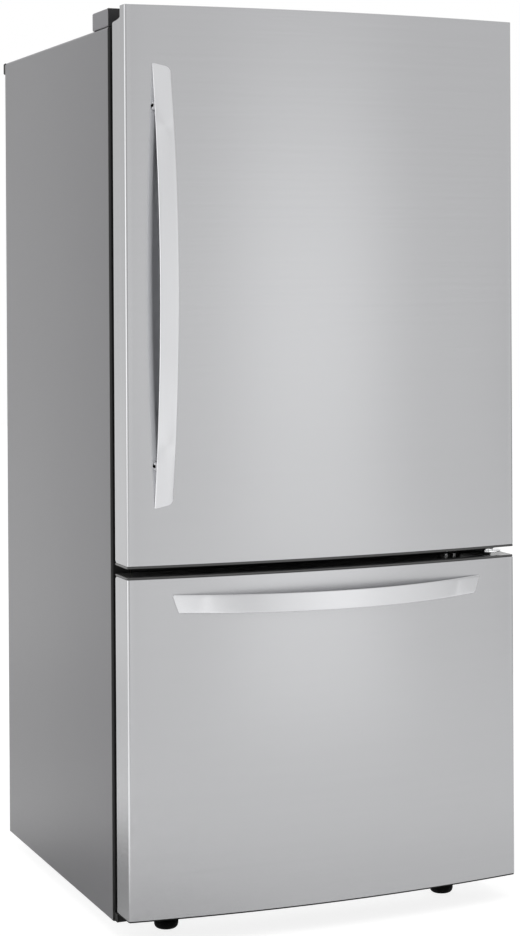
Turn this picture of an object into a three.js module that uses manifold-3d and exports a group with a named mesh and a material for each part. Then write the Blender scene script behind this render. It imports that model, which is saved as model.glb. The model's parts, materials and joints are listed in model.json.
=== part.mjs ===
// Bottom freezer refrigerator, 832 mm wide: a hinged refrigerator door over a pull-out freezer drawer.
// Units are millimetres. X points right, -Y is the front, +Z is up and the floor is z = 0.
// The pieces are written with y = 0 on the front face of the cabinet. The outer group then
// shifts them so that the origin lies under the middle of the whole appliance.

import * as THREE from 'three';
import { mergeVertices } from 'three/addons/utils/BufferGeometryUtils.js';
import Module from 'manifold-3d';

const wasm = await Module();
wasm.setup();

// ---------------------------------------------------------------- driving dimensions

const HALF = 416; // half of the overall width
const CLEAR = 0.3; // gap between pieces that touch
const SHEET = 1; // steel sheet
const PLASTIC = 1.5; // thermoformed and moulded walls

const CASE = { depth: 736, bottom: 30, top: 1759, flange: 38, corner: 6 };
const CAVITY = { half: 366, fridgeFloor: 756, fridgeTop: 1709, fridgeBack: 660 };
const FREEZER = { floor: 98, top: 656, back: 640, stepTop: 352, stepFront: 468 };
const MULLION = { bottom: 668, top: 744, depth: 12 };
const MACHINE = { front: 530, top: 290, deck: 48 };

const DOOR = { edge: 91, back: 21, sagitta: 31, corner: 4, bottom: 722, top: 1790, steelBottom: 726 };
const STEP = { y: 67, rise: 1766, back: 1760 }; // stepped top of the door
const DRAWER = { bottom: 51, steelTop: 701, top: 705 };
const HINGE = { x: 376, y: -56, pin: 6, pocketX: 350, pocketY: 86, pocketZ: 1764 };
const SEAL = { half: 390, width: 15, front: -2, doorBottom: 727, doorTop: 1745, drawerBottom: 66, drawerTop: 688 };

const STRIP = { width: 36, thick: 11, chamfer: 2, tip: 2, post: 34 }; // section of both handles
const DOOR_HANDLE = { x: -345, bottom: 835, top: 1679.5, slant: 14, reach: 61 };
const DRAWER_HANDLE = { z: 652, half: 329, slant: 14, reach: 62 };
const TOP_COVER = { front: 3, back: 102, top: 1794, wall: 2.5, frontCorner: 8, rearCorner: 4 };
const SPACER = { width: 24, reach: 13, bottom: 1734 };
const LEG = { x: 302.5, y: 17, foot: 24, stem: 5, footHeight: 17, top: 78 };
const ROLLER = { x: 340, y: 660, radius: 20, width: 24, pin: 3 };

const RAIL = { bottom: 298, top: 352, front: 40, back: 458 };
const BASKET = { half: 334, front: 16, back: 450, floor: 106, rim: 349 };
const TRAY = { half: 322, front: 190, back: 438, floor: 353, rim: 452 };

const DRAWER_HANDLE_FRONT = DOOR.edge + DOOR.sagitta + DRAWER_HANDLE.reach;
const CENTRE_Y = (CASE.depth + SPACER.reach - DRAWER_HANDLE_FRONT) / 2;

// ---------------------------------------------------------------- colours and finishes

const FINISH = {
  steel: { color: 0xb9babc, roughness: 0.32, metalness: 1 },
  case: { color: 0x8f9092, roughness: 0.45, metalness: 0.3 },
  zinc: { color: 0x9da2a6, roughness: 0.4, metalness: 0.9 },
  black: { color: 0x17181a, roughness: 0.55, metalness: 0 },
  cap: { color: 0x77787b, roughness: 0.5, metalness: 0 },
  seal: { color: 0x2c2d2f, roughness: 0.8, metalness: 0 },
  white: { color: 0xeef0f1, roughness: 0.35, metalness: 0 },
  clear: { color: 0xdfe8ea, roughness: 0.1, metalness: 0, transparent: true, opacity: 0.4 },
  foam: { color: 0xe8d9a8, roughness: 0.9, metalness: 0 },
  aluminium: { color: 0xc9ccd0, roughness: 0.35, metalness: 1 },
};

const appliance = new THREE.Group();
const caseFrame = new THREE.Group();
caseFrame.position.y = -CENTRE_Y;
appliance.add(caseFrame);

// Adds one piece; place moves or turns it after it is made.
function add(name, finish, geometry, place = () => {}) {
  const mesh = new THREE.Mesh(geometry, new THREE.MeshStandardMaterial(FINISH[finish]));
  mesh.name = name;
  place(mesh);
  caseFrame.add(mesh);
  return mesh;
}

// ---------------------------------------------------------------- solids

function toSolid(geometry) {
  const bare = geometry.clone();
  bare.deleteAttribute('normal');
  bare.deleteAttribute('uv');
  const merged = mergeVertices(bare, 1e-4);
  const vertProperties = new Float32Array(merged.attributes.position.array);
  const triVerts = new Uint32Array(merged.index.array);
  return new wasm.Manifold(new wasm.Mesh({ numProp: 3, vertProperties, triVerts }));
}

function toGeometry(solid) {
  const mesh = solid.getMesh();
  const geometry = new THREE.BufferGeometry();
  geometry.setAttribute('position', new THREE.BufferAttribute(mesh.vertProperties, 3));
  geometry.setIndex(new THREE.BufferAttribute(mesh.triVerts, 1));
  geometry.computeVertexNormals();
  return geometry;
}

const join = (...pieces) => toGeometry(pieces.map(toSolid).reduce((whole, piece) => whole.add(piece)));
const cut = (body, ...tools) => toGeometry(tools.map(toSolid).reduce((left, tool) => left.subtract(tool), toSolid(body)));
const common = (body, ...others) => toGeometry(others.map(toSolid).reduce((left, other) => left.intersect(other), toSolid(body)));

// ---------------------------------------------------------------- outlines and sweeps

function box([x0, x1], [y0, y1], [z0, z1]) {
  const geometry = new THREE.BoxGeometry(x1 - x0, y1 - y0, z1 - z0);
  return geometry.translate((x0 + x1) / 2, (y0 + y1) / 2, (z0 + z1) / 2);
}

// A rectangle with rounded corners, as an outline or, with hole, as the hole of another.
function rectangle([u0, u1], [v0, v1], radius = 0, hole = false) {
  const outline = hole ? new THREE.Path() : new THREE.Shape();
  if (radius === 0) {
    outline.moveTo(u0, v0).lineTo(u1, v0).lineTo(u1, v1).lineTo(u0, v1).closePath();
    return outline;
  }
  const r = radius;
  outline.moveTo(u0 + r, v0);
  outline.lineTo(u1 - r, v0).absarc(u1 - r, v0 + r, r, -Math.PI / 2, 0);
  outline.lineTo(u1, v1 - r).absarc(u1 - r, v1 - r, r, 0, Math.PI / 2);
  outline.lineTo(u0 + r, v1).absarc(u0 + r, v1 - r, r, Math.PI / 2, Math.PI);
  outline.lineTo(u0, v0 + r).absarc(u0 + r, v0 + r, r, Math.PI, Math.PI * 1.5);
  return outline;
}

function polygon(...points) {
  const shape = new THREE.Shape();
  points.forEach(([u, v], i) => (i ? shape.lineTo(u, v) : shape.moveTo(u, v)));
  return shape.closePath();
}

function withHoles(shape, ...holes) {
  shape.holes.push(...holes);
  return shape;
}

function circle(u, v, radius, hole = false) {
  const outline = hole ? new THREE.Path() : new THREE.Shape();
  return outline.absarc(u, v, radius, 0, Math.PI * 2);
}

function extrude(shape, length, { bevel = 0, segments = 4 } = {}) {
  const geometry = new THREE.ExtrudeGeometry(shape, {
    depth: length - 2 * bevel,
    bevelEnabled: bevel > 0,
    bevelThickness: bevel,
    bevelSize: bevel,
    bevelOffset: -bevel,
    bevelSegments: 1,
    curveSegments: segments,
  });
  return geometry.translate(0, 0, bevel);
}

const AXES = {
  x: new THREE.Matrix4().makeBasis(new THREE.Vector3(0, 1, 0), new THREE.Vector3(0, 0, 1), new THREE.Vector3(1, 0, 0)),
  y: new THREE.Matrix4().makeBasis(new THREE.Vector3(1, 0, 0), new THREE.Vector3(0, 0, 1), new THREE.Vector3(0, -1, 0)),
};

// The outline lies in YZ, XZ or XY and is swept along X, Y or Z between two places.
const alongX = (shape, [x0, x1], options) => extrude(shape, x1 - x0, options).applyMatrix4(AXES.x).translate(x0, 0, 0);
const alongY = (shape, [y0, y1], options) => extrude(shape, y1 - y0, options).applyMatrix4(AXES.y).translate(0, y1, 0);
const alongZ = (shape, [z0, z1], options) => extrude(shape, z1 - z0, options).translate(0, 0, z0);

const mirrorX = (geometry) => {
  const solid = toSolid(geometry);
  return toGeometry(solid.mirror([1, 0, 0]));
};
const span = (middle, width) => [middle - width / 2, middle + width / 2];

// A cylinder between two places on an axis, through the other two coordinates.
function rod(axis, [a, b], [u, v], radius, sides = 16) {
  const geometry = new THREE.CylinderGeometry(radius, radius, b - a, sides);
  const middle = (a + b) / 2;
  if (axis === 'x') return geometry.rotateZ(-Math.PI / 2).translate(middle, u, v);
  if (axis === 'y') return geometry.translate(u, middle, v);
  return geometry.rotateX(Math.PI / 2).translate(u, v, middle);
}

// A turned piece: the profile holds (radius, height) points from the axis back to the axis.
function turned(points, segments = 24) {
  const profile = points.map(([r, z]) => new THREE.Vector2(r, z));
  return new THREE.LatheGeometry(profile, segments).rotateX(Math.PI / 2);
}

// Each ring of corners is joined to the next, and the two end rings are filled in.
function ruled(rings) {
  const n = rings[0].length;
  const last = (rings.length - 1) * n;
  const index = [];
  for (let i = 0; i + 1 < rings.length; i++) {
    for (let k = 0; k < n; k++) {
      const [a, b] = [i * n + k, i * n + ((k + 1) % n)];
      index.push(a, b, b + n, a, b + n, a + n);
    }
  }
  for (let k = 1; k + 1 < n; k++) index.push(0, k + 1, k, last, last + k, last + k + 1);
  const geometry = new THREE.BufferGeometry();
  geometry.setAttribute('position', new THREE.Float32BufferAttribute(rings.flat(2), 3));
  return geometry.setIndex(index);
}

// An open tub with rounded upright corners, its walls drawn in towards the floor.
function tub([x0, x1], [y0, y1], [z0, z1], { wall = 2, draft = 8, radius = 14, rim = 0 } = {}) {
  const middle = [(x0 + x1) / 2, (y0 + y1) / 2];
  const drafted = (inset, low, high) => {
    const outline = rectangle([x0 + inset, x1 - inset], [y0 + inset, y1 - inset], radius - inset);
    const block = alongZ(outline, [low, high], { segments: 3 });
    const corner = block.attributes.position;
    for (let i = 0; i < corner.count; i++) {
      const drawn = draft * Math.max(0, 1 - (corner.getZ(i) - z0) / (z1 - z0));
      corner.setX(i, corner.getX(i) + drawn * Math.sign(middle[0] - corner.getX(i)));
      corner.setY(i, corner.getY(i) + drawn * Math.sign(middle[1] - corner.getY(i)));
    }
    return block;
  };
  const outer = [drafted(0, z0, z1)];
  if (rim > 0) {
    const lip = rectangle([x0 - rim, x1 + rim], [y0 - rim, y1 + rim], radius + rim);
    outer.push(alongZ(lip, [z1 - 3, z1], { segments: 3 }));
  }
  return cut(join(...outer), drafted(wall, z0 + wall, z1 + 1));
}

// ---------------------------------------------------------------- cabinet

// The cabinet from the front: straight sides and a top with rounded corners.
function caseOutline(inset, low) {
  const h = HALF - inset;
  const top = CASE.top - inset;
  const r = CASE.corner - inset;
  const shape = new THREE.Shape();
  shape.moveTo(h, low).lineTo(h, top - r).absarc(h - r, top - r, r, 0, Math.PI / 2);
  shape.lineTo(-h + r, top).absarc(-h + r, top - r, r, Math.PI / 2, Math.PI);
  return shape.lineTo(-h, low).closePath();
}

// The side and top sheet, with its front seal flange, rear flange and bottom hems.
function cabinetShell() {
  const frame = (width, [y0, y1]) => {
    const outer = alongY(caseOutline(0, CASE.bottom), [y0, y1]);
    const opening = box([-HALF + width, HALF - width], [y0 - 1, y1 + 1], [CASE.bottom - 1, CASE.top - width]);
    return cut(outer, opening);
  };
  const wrap = cut(
    alongY(caseOutline(0, CASE.bottom), [0, CASE.depth]),
    alongY(caseOutline(SHEET, CASE.bottom - 1), [-1, CASE.depth + 1]),
  );
  const hem = (side) => box([side * (HALF - 6.5) - 6, side * (HALF - 6.5) + 6], [0.5, CASE.depth - 0.5], [CASE.bottom, CASE.bottom + SHEET]);
  return join(wrap, frame(CASE.flange, [0, SHEET]), frame(12, [CASE.depth - SHEET, CASE.depth]), hem(-1), hem(1));
}

// The rear sheet, stiffened by pressed upright ribs that stop short of the flange.
function backPanel() {
  const half = HALF - SHEET - CLEAR;
  const y = CASE.depth - SHEET - CLEAR;
  const [foot, crest, height] = [26, 14, 4];
  const [low, high] = [MACHINE.top + CLEAR, CASE.top - SHEET - CLEAR];
  const ribs = [-290, -145, 0, 145, 290].map((x) => {
    const press = (back) => polygon([x - foot, back], [x - crest, back + height], [x + crest, back + height], [x + foot, back]);
    return cut(alongZ(press(y - 0.5), [low + 20, high - 20]), alongZ(press(y - SHEET), [low + 21, high - 21]));
  });
  const flat = box([-half, half], [y - SHEET, y], [low, high]);
  const hollows = [-290, -145, 0, 145, 290].map((x) => box([x - foot + 7, x + foot - 7], [y - 5, y + 1], [low + 21, high - 21]));
  const corners = alongY(caseOutline(SHEET + CLEAR, 0), [y - 2, CASE.depth + 9]);
  return common(join(cut(flat, ...hollows), ...ribs), corners);
}

// Floor sheet, machine-room wall and ceiling, deck, roller ears and leg bosses.
function baseFrame() {
  const half = HALF - SHEET - CLEAR;
  const t = PLASTIC;
  const { front, top, deck } = MACHINE;
  const back = CASE.depth - SHEET - 2 * CLEAR - SHEET;
  const floorSheet = box([-half, half], [t, back], [deck, deck + t]);
  const roomWall = alongX(polygon([front, deck], [front + t, deck], [front + t, top - t], [back, top - t], [back, top], [front, top]), [-half, half]);
  const innerHalf = HALF - CASE.flange - CLEAR;
  const frontRail = box([-innerHalf, innerHalf], [0, t], [deck, FREEZER.floor - 4]);
  const frontFoot = box([-innerHalf, innerHalf], [0, 6], [deck, deck + t]);
  const rearLip = box([-half + 20, half - 20], [back - t, back], [deck, deck + 12]);
  const ear = (x) => box(span(x, 2), span(ROLLER.y, 36), [ROLLER.radius - 8, deck + 0.5]);
  const rollerMount = (side) => {
    const x = side * ROLLER.x;
    const reach = ROLLER.width / 2 + 2;
    const pin = rod('x', span(x, 2 * reach + 1), [ROLLER.y, ROLLER.radius], ROLLER.pin, 12);
    return join(ear(x - reach), ear(x + reach), pin);
  };
  const boss = (side) => rod('z', [32, 74], [side * LEG.x, LEG.y], 11);
  const bore = (side) => rod('z', [30, 80], [side * LEG.x, LEG.y], LEG.stem + 0.5);
  const welded = join(floorSheet, roomWall, frontRail, frontFoot, rearLip, rollerMount(-1), rollerMount(1), boss(-1), boss(1));
  return cut(welded, bore(-1), bore(1));
}

// The freezer space steps up over the machine room.
function freezerOutline(grow, front) {
  const { floor, top, back, stepTop, stepFront } = FREEZER;
  return polygon(
    [front, floor - grow],
    [stepFront + grow, floor - grow],
    [stepFront + grow, stepTop - grow],
    [back + grow, stepTop - grow],
    [back + grow, top + grow],
    [front, top + grow],
  );
}

function lip([z0, z1], [inner0, inner1]) {
  const half = HALF - CASE.flange - CLEAR;
  const flat = withHoles(rectangle([-half, half], [z0, z1]), rectangle([-CAVITY.half, CAVITY.half], [inner0, inner1], 0, true));
  return alongY(flat, [0, PLASTIC]);
}

// A ledge moulded on a liner wall, under a shelf or a drawer.
function ledges(z, [y0, y1], reach = 8) {
  const wall = CAVITY.half + 0.5;
  const profile = (side) => {
    const shape = polygon([side * wall, z - 14], [side * wall, z], [side * (wall - reach), z], [side * (wall - reach), z - 5]);
    return alongY(shape, [y0, y1]);
  };
  return [profile(-1), profile(1)];
}

// A slotted upright that the shelf hooks drop into.
function ladder(x) {
  const { bottom, top, pitch } = LADDER;
  const back = CAVITY.fridgeBack;
  const slots = [];
  for (let z = bottom + 22; z < top - 20; z += pitch) slots.push(box(span(x, 4), [back - 6, back - 2], [z, z + 14]));
  const plate = box(span(x, 16), [back - 5, back - 3.5], [bottom, top]);
  const cheek = (side) => box(span(x + side * 7, 2), [back - 4, back + 0.5], [bottom, top]);
  return join(cut(plate, ...slots), cheek(-1), cheek(1));
}

const LADDER = { columns: [-335, -100, 100, 335], bottom: 1110, top: 1680, pitch: 60 };
const PANTRY = { half: 346, front: 168, back: 600, floor: 756.5, rim: 880, shelf: 890 };
const CRISPER = { front: 168, back: 600, floor: 901.5, rim: 1070, shelf: 1078 };
const SHELF = { half: 364, front: 200, back: 652, thick: 11 };

function fridgeLiner() {
  const { half, fridgeFloor, fridgeTop, fridgeBack } = CAVITY;
  const outer = box([-half - PLASTIC, half + PLASTIC], [0, fridgeBack + PLASTIC], [fridgeFloor - PLASTIC, fridgeTop + PLASTIC]);
  const inner = box([-half, half], [-1, fridgeBack], [fridgeFloor, fridgeTop]);
  const rails = [PANTRY.shelf, CRISPER.shelf].flatMap((z) => ledges(z - CLEAR, [SHELF.front - 40, SHELF.back]));
  const mouth = lip([MULLION.top + CLEAR, CASE.top - CASE.flange - CLEAR], [fridgeFloor, fridgeTop]);
  return join(cut(outer, inner), mouth, ...rails, ...LADDER.columns.map(ladder));
}

function freezerLiner() {
  const { half } = CAVITY;
  const outer = alongX(freezerOutline(PLASTIC, 0), [-half - PLASTIC, half + PLASTIC]);
  const inner = alongX(freezerOutline(0, -1), [-half, half]);
  return join(cut(outer, inner), lip([FREEZER.floor - 4 + CLEAR, MULLION.bottom - CLEAR], [FREEZER.floor, FREEZER.top]));
}

function cabinetFoam() {
  const grow = PLASTIC + CLEAR;
  const front = PLASTIC + CLEAR;
  const back = CASE.depth - 2 * SHEET - 2 * CLEAR;
  const block = alongY(caseOutline(SHEET + CLEAR, MACHINE.deck + PLASTIC + CLEAR), [front, back]);
  const fridge = box(
    [-CAVITY.half - grow, CAVITY.half + grow],
    [-1, CAVITY.fridgeBack + grow],
    [CAVITY.fridgeFloor - grow, CAVITY.fridgeTop + grow],
  );
  const freezer = alongX(freezerOutline(grow, -1), [-CAVITY.half - grow, CAVITY.half + grow]);
  const room = box([-HALF, HALF], [MACHINE.front - CLEAR, CASE.depth], [0, MACHINE.top + CLEAR]);
  const rail = box([-HALF, HALF], [-1, MULLION.depth + CLEAR], [MULLION.bottom - CLEAR, MULLION.top + CLEAR]);
  const boss = (side) => rod('z', [40, 82], [side * LEG.x, LEG.y], 12);
  const foot = box([-HALF, HALF], [-1, 6 + CLEAR], [0, MACHINE.deck + PLASTIC + 1]);
  return cut(block, fridge, freezer, room, rail, boss(-1), boss(1), foot);
}

function mullionCover() {
  const half = HALF - CASE.flange - CLEAR;
  const { bottom, top, depth } = MULLION;
  const t = 1.2;
  const channel = polygon([0, bottom], [depth, bottom], [depth, bottom + t], [t, bottom + t], [t, top - t], [depth, top - t], [depth, top], [0, top]);
  return alongX(channel, [-half, half]);
}

// The moulded cover over the top hinge, open underneath, with a mouth for the hinge arm.
function topCover() {
  const { front, back, top, wall, frontCorner, rearCorner } = TOP_COVER;
  const half = HALF - 0.5;
  const floor = CASE.top + CLEAR;
  const profile = (inset) => {
    const shape = new THREE.Shape();
    const r = frontCorner - inset;
    shape.moveTo(front + inset, floor - (inset ? 1 : 0));
    shape.lineTo(front + inset, top - r - inset).absarc(front + inset + r, top - r - inset, r, Math.PI, Math.PI / 2, true);
    shape.lineTo(back - rearCorner - inset, top - inset);
    shape.quadraticCurveTo(back - inset, top - inset, back - inset, top - rearCorner - inset);
    return shape.lineTo(back - inset, floor - (inset ? 1 : 0)).closePath();
  };
  const shell = cut(alongX(profile(0), [-half, half], { bevel: 1.5 }), alongX(profile(wall), [-half + wall, half - wall]));
  const mouth = box([HINGE.x - 22, HINGE.x + 22], [front - 1, front + wall + 1], [floor - 1, CASE.top + 17]);
  return cut(shell, mouth);
}

// A cranked plate from the cabinet top to the pivot, with its pin pointing down.
function topHinge() {
  const base = CASE.top + CLEAR;
  const arm = HINGE.pocketZ + 3;
  const t = 4;
  const crank = polygon([95, base], [95, base + t], [24, base + t], [14, arm + t], [-80, arm + t], [-80, arm], [12, arm], [22, base]);
  const plan = new THREE.Shape();
  plan.moveTo(HINGE.x - 46, 90).lineTo(HINGE.x - 46, 34).lineTo(HINGE.x - 14, 8).lineTo(HINGE.x - 11, HINGE.y);
  plan.absarc(HINGE.x, HINGE.y, 11, Math.PI, Math.PI * 2);
  plan.lineTo(HINGE.x + 14, 8).lineTo(HINGE.x + 30, 34).lineTo(HINGE.x + 30, 90).closePath();
  const plate = common(alongX(crank, [HINGE.x - 60, HINGE.x + 60]), alongZ(plan, [base - 1, arm + t + 1], { segments: 6 }));
  const pin = rod('z', [arm - 14, arm + 1], [HINGE.x, HINGE.y], HINGE.pin);
  return join(plate, pin);
}

// A bracket bolted to the centre rail; its pin carries the door and its arm clears the drawer.
function middleHinge() {
  const foot = -CLEAR;
  const t = 3;
  const shelf = 709;
  const wall = box([HINGE.x - 84, HINGE.x + 24], [foot - t, foot], [691, 719]);
  const plan = new THREE.Shape();
  plan.moveTo(HINGE.x - 40, foot).lineTo(HINGE.x - 40, -14).quadraticCurveTo(HINGE.x - 18, -26, HINGE.x - 15, HINGE.y);
  plan.absarc(HINGE.x, HINGE.y, 15, Math.PI, Math.PI * 1.5);
  plan.lineTo(HINGE.x + 10, HINGE.y - 15).quadraticCurveTo(HINGE.x + 30, HINGE.y - 13, HINGE.x + 30, HINGE.y + 8);
  plan.lineTo(HINGE.x + 24, foot).closePath();
  const arm = alongZ(plan, [shelf, shelf + 4], { segments: 5 });
  const rib = alongX(polygon([foot - 1, 710], [foot - 14, 710], [foot - 1, 696]), span(HINGE.x - 38, 3));
  const washer = rod('z', [shelf + 3, shelf + 6.5], [HINGE.x, HINGE.y], 11);
  const pin = rod('z', [shelf + 3, DOOR.steelBottom + 10], [HINGE.x, HINGE.y], HINGE.pin);
  return join(wall, arm, rib, washer, pin);
}

function baseCover() {
  const profile = polygon([-CLEAR, 31.5], [-15, 31.5], [-18, 34], [-16.5, 48], [-CLEAR, 48], [-CLEAR, 46], [-14.5, 46], [-16, 35], [-14.5, 33.5], [-CLEAR, 33.5]);
  const half = HALF - 2;
  const cheek = (side) => alongX(polygon([-CLEAR, 31.5], [-15, 31.5], [-18, 34], [-16.5, 48], [-CLEAR, 48]), span(side * (half - 1), 2));
  return join(alongX(profile, [-half, half]), cheek(-1), cheek(1));
}

function rearSpacer() {
  const y = CASE.depth + CLEAR;
  const out = CASE.depth + SPACER.reach;
  const shape = new THREE.Shape();
  shape.moveTo(y, SPACER.bottom).lineTo(out - 4, SPACER.bottom).quadraticCurveTo(out, SPACER.bottom, out, SPACER.bottom + 4);
  shape.lineTo(out, CASE.top - 5).quadraticCurveTo(out, CASE.top - 0.5, out - 5, CASE.top - 0.5).lineTo(y, CASE.top - 0.5).closePath();
  return alongX(shape, [-HALF, -HALF + SPACER.width], { bevel: 1 });
}

// The rear cover of the machine room, with two fields of slots.
function machineCover() {
  const half = HALF - SHEET - CLEAR;
  const y = CASE.depth - SHEET - CLEAR;
  const slots = [];
  for (const middle of [-240, 240]) {
    for (let z = 92; z < 250; z += 22) slots.push(box(span(middle, 150), [y - 5, y + 5], [z, z + 7]));
  }
  return cut(box([-half, half], [y - SHEET, y], [MACHINE.deck + PLASTIC + CLEAR, MACHINE.top - CLEAR]), ...slots);
}

add('cabinet_shell', 'case', cabinetShell());
add('back_panel', 'zinc', backPanel());
add('base_frame', 'zinc', baseFrame());
add('cabinet_foam', 'foam', cabinetFoam());
add('fridge_liner', 'white', fridgeLiner());
add('freezer_liner', 'white', freezerLiner());
add('mullion_cover', 'black', mullionCover());
add('top_cover', 'cap', topCover());
add('top_hinge', 'zinc', topHinge());
add('middle_hinge', 'black', middleHinge());
add('base_cover', 'black', baseCover());
add('rear_spacer_left', 'black', rearSpacer());
add('rear_spacer_right', 'black', mirrorX(rearSpacer()));
add('machine_cover', 'zinc', machineCover());

// ---------------------------------------------------------------- feet and rollers

// A screwed leg: a bowl-shaped foot under a stem that turns in the boss of the base frame.
function levellingLeg() {
  const { foot, stem, footHeight, top } = LEG;
  const bowl = [[0, 0], [foot - 11, 0], [foot - 6, 1.5], [foot - 2, 5.5], [foot, 11], [foot, footHeight - 1]];
  const neck = [[foot - 1, footHeight], [9, footHeight + 1], [9, 28], [stem, 29], [stem, top], [0, top]];
  return turned([...bowl, ...neck], 18);
}

function roller() {
  const { radius, width, pin } = ROLLER;
  const w = width / 2;
  const bore = pin + 0.4;
  const profile = [[bore, -w], [radius - 2, -w], [radius, -w + 2]];
  const loop = [...profile, ...profile.map(([r, z]) => [r, -z]).reverse(), profile[0]];
  return turned(loop, 20).rotateY(Math.PI / 2);
}

for (const [side, x] of [['left', -1], ['right', 1]]) {
  add(`levelling_leg_${side}`, 'black', levellingLeg(), (mesh) => mesh.position.set(x * LEG.x, LEG.y, 0));
  add(`rear_roller_${side}`, 'black', roller(), (mesh) => mesh.position.set(x * ROLLER.x, ROLLER.y, ROLLER.radius));
}

// ---------------------------------------------------------------- machine room

function compressor() {
  const shell = turned([[0, 0], [46, 0], [66, 16], [75, 50], [75, 78], [80, 80], [80, 84], [75, 86], [73, 110], [62, 138], [40, 152], [0, 156]], 16);
  const plate = alongZ(rectangle([-105, 105], [-60, 60]), [-8, -4]);
  const legs = [-1, 1].map((side) => alongY(polygon([side * 40, -6], [side * 78, -6], [side * 70, 30], [side * 46, 30]), [-20, 20]));
  const feet = [-1, 1].flatMap((u) => [-1, 1].map((v) => rod('z', [-16, -3], [u * 88, v * 44], 10, 8)));
  const stubs = [rod('y', [-98, -60], [22, 96], 5, 8), rod('y', [-96, -60], [-26, 70], 4, 8)];
  const relay = box([70, 98], [-22, 22], [20, 74]);
  return join(shell, plate, ...legs, ...feet, ...stubs, relay);
}

// One unbroken tube through every run of the coil, layer after layer.
function coilPath({ runs, layers, pitch, layerPitch, length }) {
  const path = new THREE.CurvePath();
  const place = (s, row, layer) => new THREE.Vector3(s * length / 2, row * pitch, layer * layerPitch);
  let side = -1;
  for (let layer = 0; layer < layers; layer++) {
    for (let i = 0; i < runs; i++) {
      const row = layer % 2 ? runs - 1 - i : i;
      const [from, to] = [place(side, row, layer), place(-side, row, layer)];
      path.add(new THREE.LineCurve3(from, to));
      side = -side;
      const last = i === runs - 1;
      if (last && layer === layers - 1) break;
      const next = last ? place(side, row, layer + 1) : place(side, row + (layer % 2 ? -1 : 1), layer);
      const reach = new THREE.Vector3(side * (last ? layerPitch : pitch) * 0.66, 0, 0);
      path.add(new THREE.CubicBezierCurve3(to, to.clone().add(reach), next.clone().add(reach), next));
    }
  }
  return path;
}

function coil({ tube = 3, sides = 6, ...layout }) {
  const path = coilPath(layout);
  const points = [];
  for (const curve of path.curves) points.push(...curve.getPoints(curve.isLineCurve3 ? 1 : 4).slice(0, -1));
  points.push(path.curves.at(-1).getPoint(1));
  const ring = circle(0, 0, tube);
  return sweep(ring.getPoints(sides / 2).slice(0, sides), points);
}

// A closed tube of a fixed section through points, its rings kept square to the route.
function sweep(section, points) {
  const tangent = (i) => points[Math.min(i + 1, points.length - 1)].clone().sub(points[Math.max(i - 1, 0)]).normalize();
  let across = new THREE.Vector3(0, 0, 1).cross(tangent(0)).normalize();
  const rings = points.map((point, i) => {
    const forward = tangent(i);
    across = across.clone().addScaledVector(forward, -across.dot(forward)).normalize();
    const up = forward.clone().cross(across);
    return section.map(({ x, y }) => point.clone().addScaledVector(across, x).addScaledVector(up, y).toArray());
  });
  return ruled(rings);
}

// Blades turned to a pitch about their own spokes, on a hub, for an axle along Z.
function fanWheel({ radius, hub, depth, blades, pitch = 0.55 }) {
  const outline = new THREE.Shape();
  const [inner, half] = [hub - 2, 0.36];
  outline.moveTo(inner * Math.cos(-half), inner * Math.sin(-half));
  outline.quadraticCurveTo(radius * 0.62, -radius * 0.42, radius * Math.cos(-half * 0.7), radius * Math.sin(-half * 0.7));
  outline.absarc(0, 0, radius, -half * 0.7, half, false);
  outline.quadraticCurveTo(radius * 0.6, radius * 0.16, inner * Math.cos(half), inner * Math.sin(half)).closePath();
  const parts = [turned([[0, -depth / 2], [hub - 2, -depth / 2], [hub, -depth / 2 + 2], [hub, depth / 2], [0, depth / 2]], 12)];
  for (let i = 0; i < blades; i++) {
    const blade = extrude(outline, 1.6, { segments: 3 }).translate(0, 0, -0.8);
    parts.push(blade.rotateX(pitch).rotateZ((i * 2 * Math.PI) / blades));
  }
  return join(...parts);
}

// The ring plate round the condenser fan, with the motor on three arms, for an axle along Z.
function fanShroud() {
  const plate = extrude(withHoles(rectangle([-84, 84], [MACHINE.deck + PLASTIC + CLEAR - 148, 100]), circle(0, 0, 72, true)), 3, { segments: 12 });
  const collar = extrude(withHoles(circle(0, 0, 75), circle(0, 0, 72, true)), 16, { segments: 12 });
  const arm = (turn) => box([12, 74], [-5, 5], [0, 3]).rotateZ(turn);
  const motor = turned([[0, 0], [22, 0], [24, 3], [24, 30], [0, 30]], 12).translate(0, 0, -29);
  const shaft = rod('z', [0, 8], [0, 0], 3, 8);
  return join(plate, collar, motor, shaft, ...[0.5, 2.6, 4.7].map(arm));
}

const COIL = { runs: 5, layers: 3, pitch: 30, layerPitch: 32, length: 190 };

// The condenser coil, carried by two end frames that stand astride the drain pan.
function condenser() {
  const low = MACHINE.deck + PLASTIC + CLEAR - 94;
  const [near, far, top] = [-30, 158, 1];
  const frame = polygon([near, low], [near + 8, low], [near + 8, -8], [far - 8, -8], [far - 8, low], [far, low], [far, top], [near, top]);
  const frames = [-1, 1].map((side) => alongX(frame, span(side * (COIL.length / 2 - 6), 1.5)));
  return join(coil(COIL), ...frames);
}

const FAN = { x: -40, y: 634, z: 148 };
add('compressor', 'black', compressor(), (mesh) => mesh.position.set(200, 640, MACHINE.deck + PLASTIC + CLEAR + 16));
add('condenser', 'black', condenser(), (mesh) => mesh.position.set(-250, 568, 94));
add('condenser_fan_motor', 'zinc', fanShroud(), (mesh) => {
  mesh.position.set(FAN.x, FAN.y, FAN.z);
  mesh.rotation.set(Math.PI / 2, Math.PI / 2, 0);
});
add('condenser_fan', 'black', fanWheel({ radius: 68, hub: 22, depth: 18, blades: 5 }), (mesh) => {
  mesh.position.set(FAN.x + 18, FAN.y, FAN.z);
  mesh.rotation.set(Math.PI / 2, Math.PI / 2, 0);
});
add('drain_pan', 'black', tub([-375, -85], [548, 714], [MACHINE.deck + PLASTIC + CLEAR, 82], { draft: 4, radius: 12 }));

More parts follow.
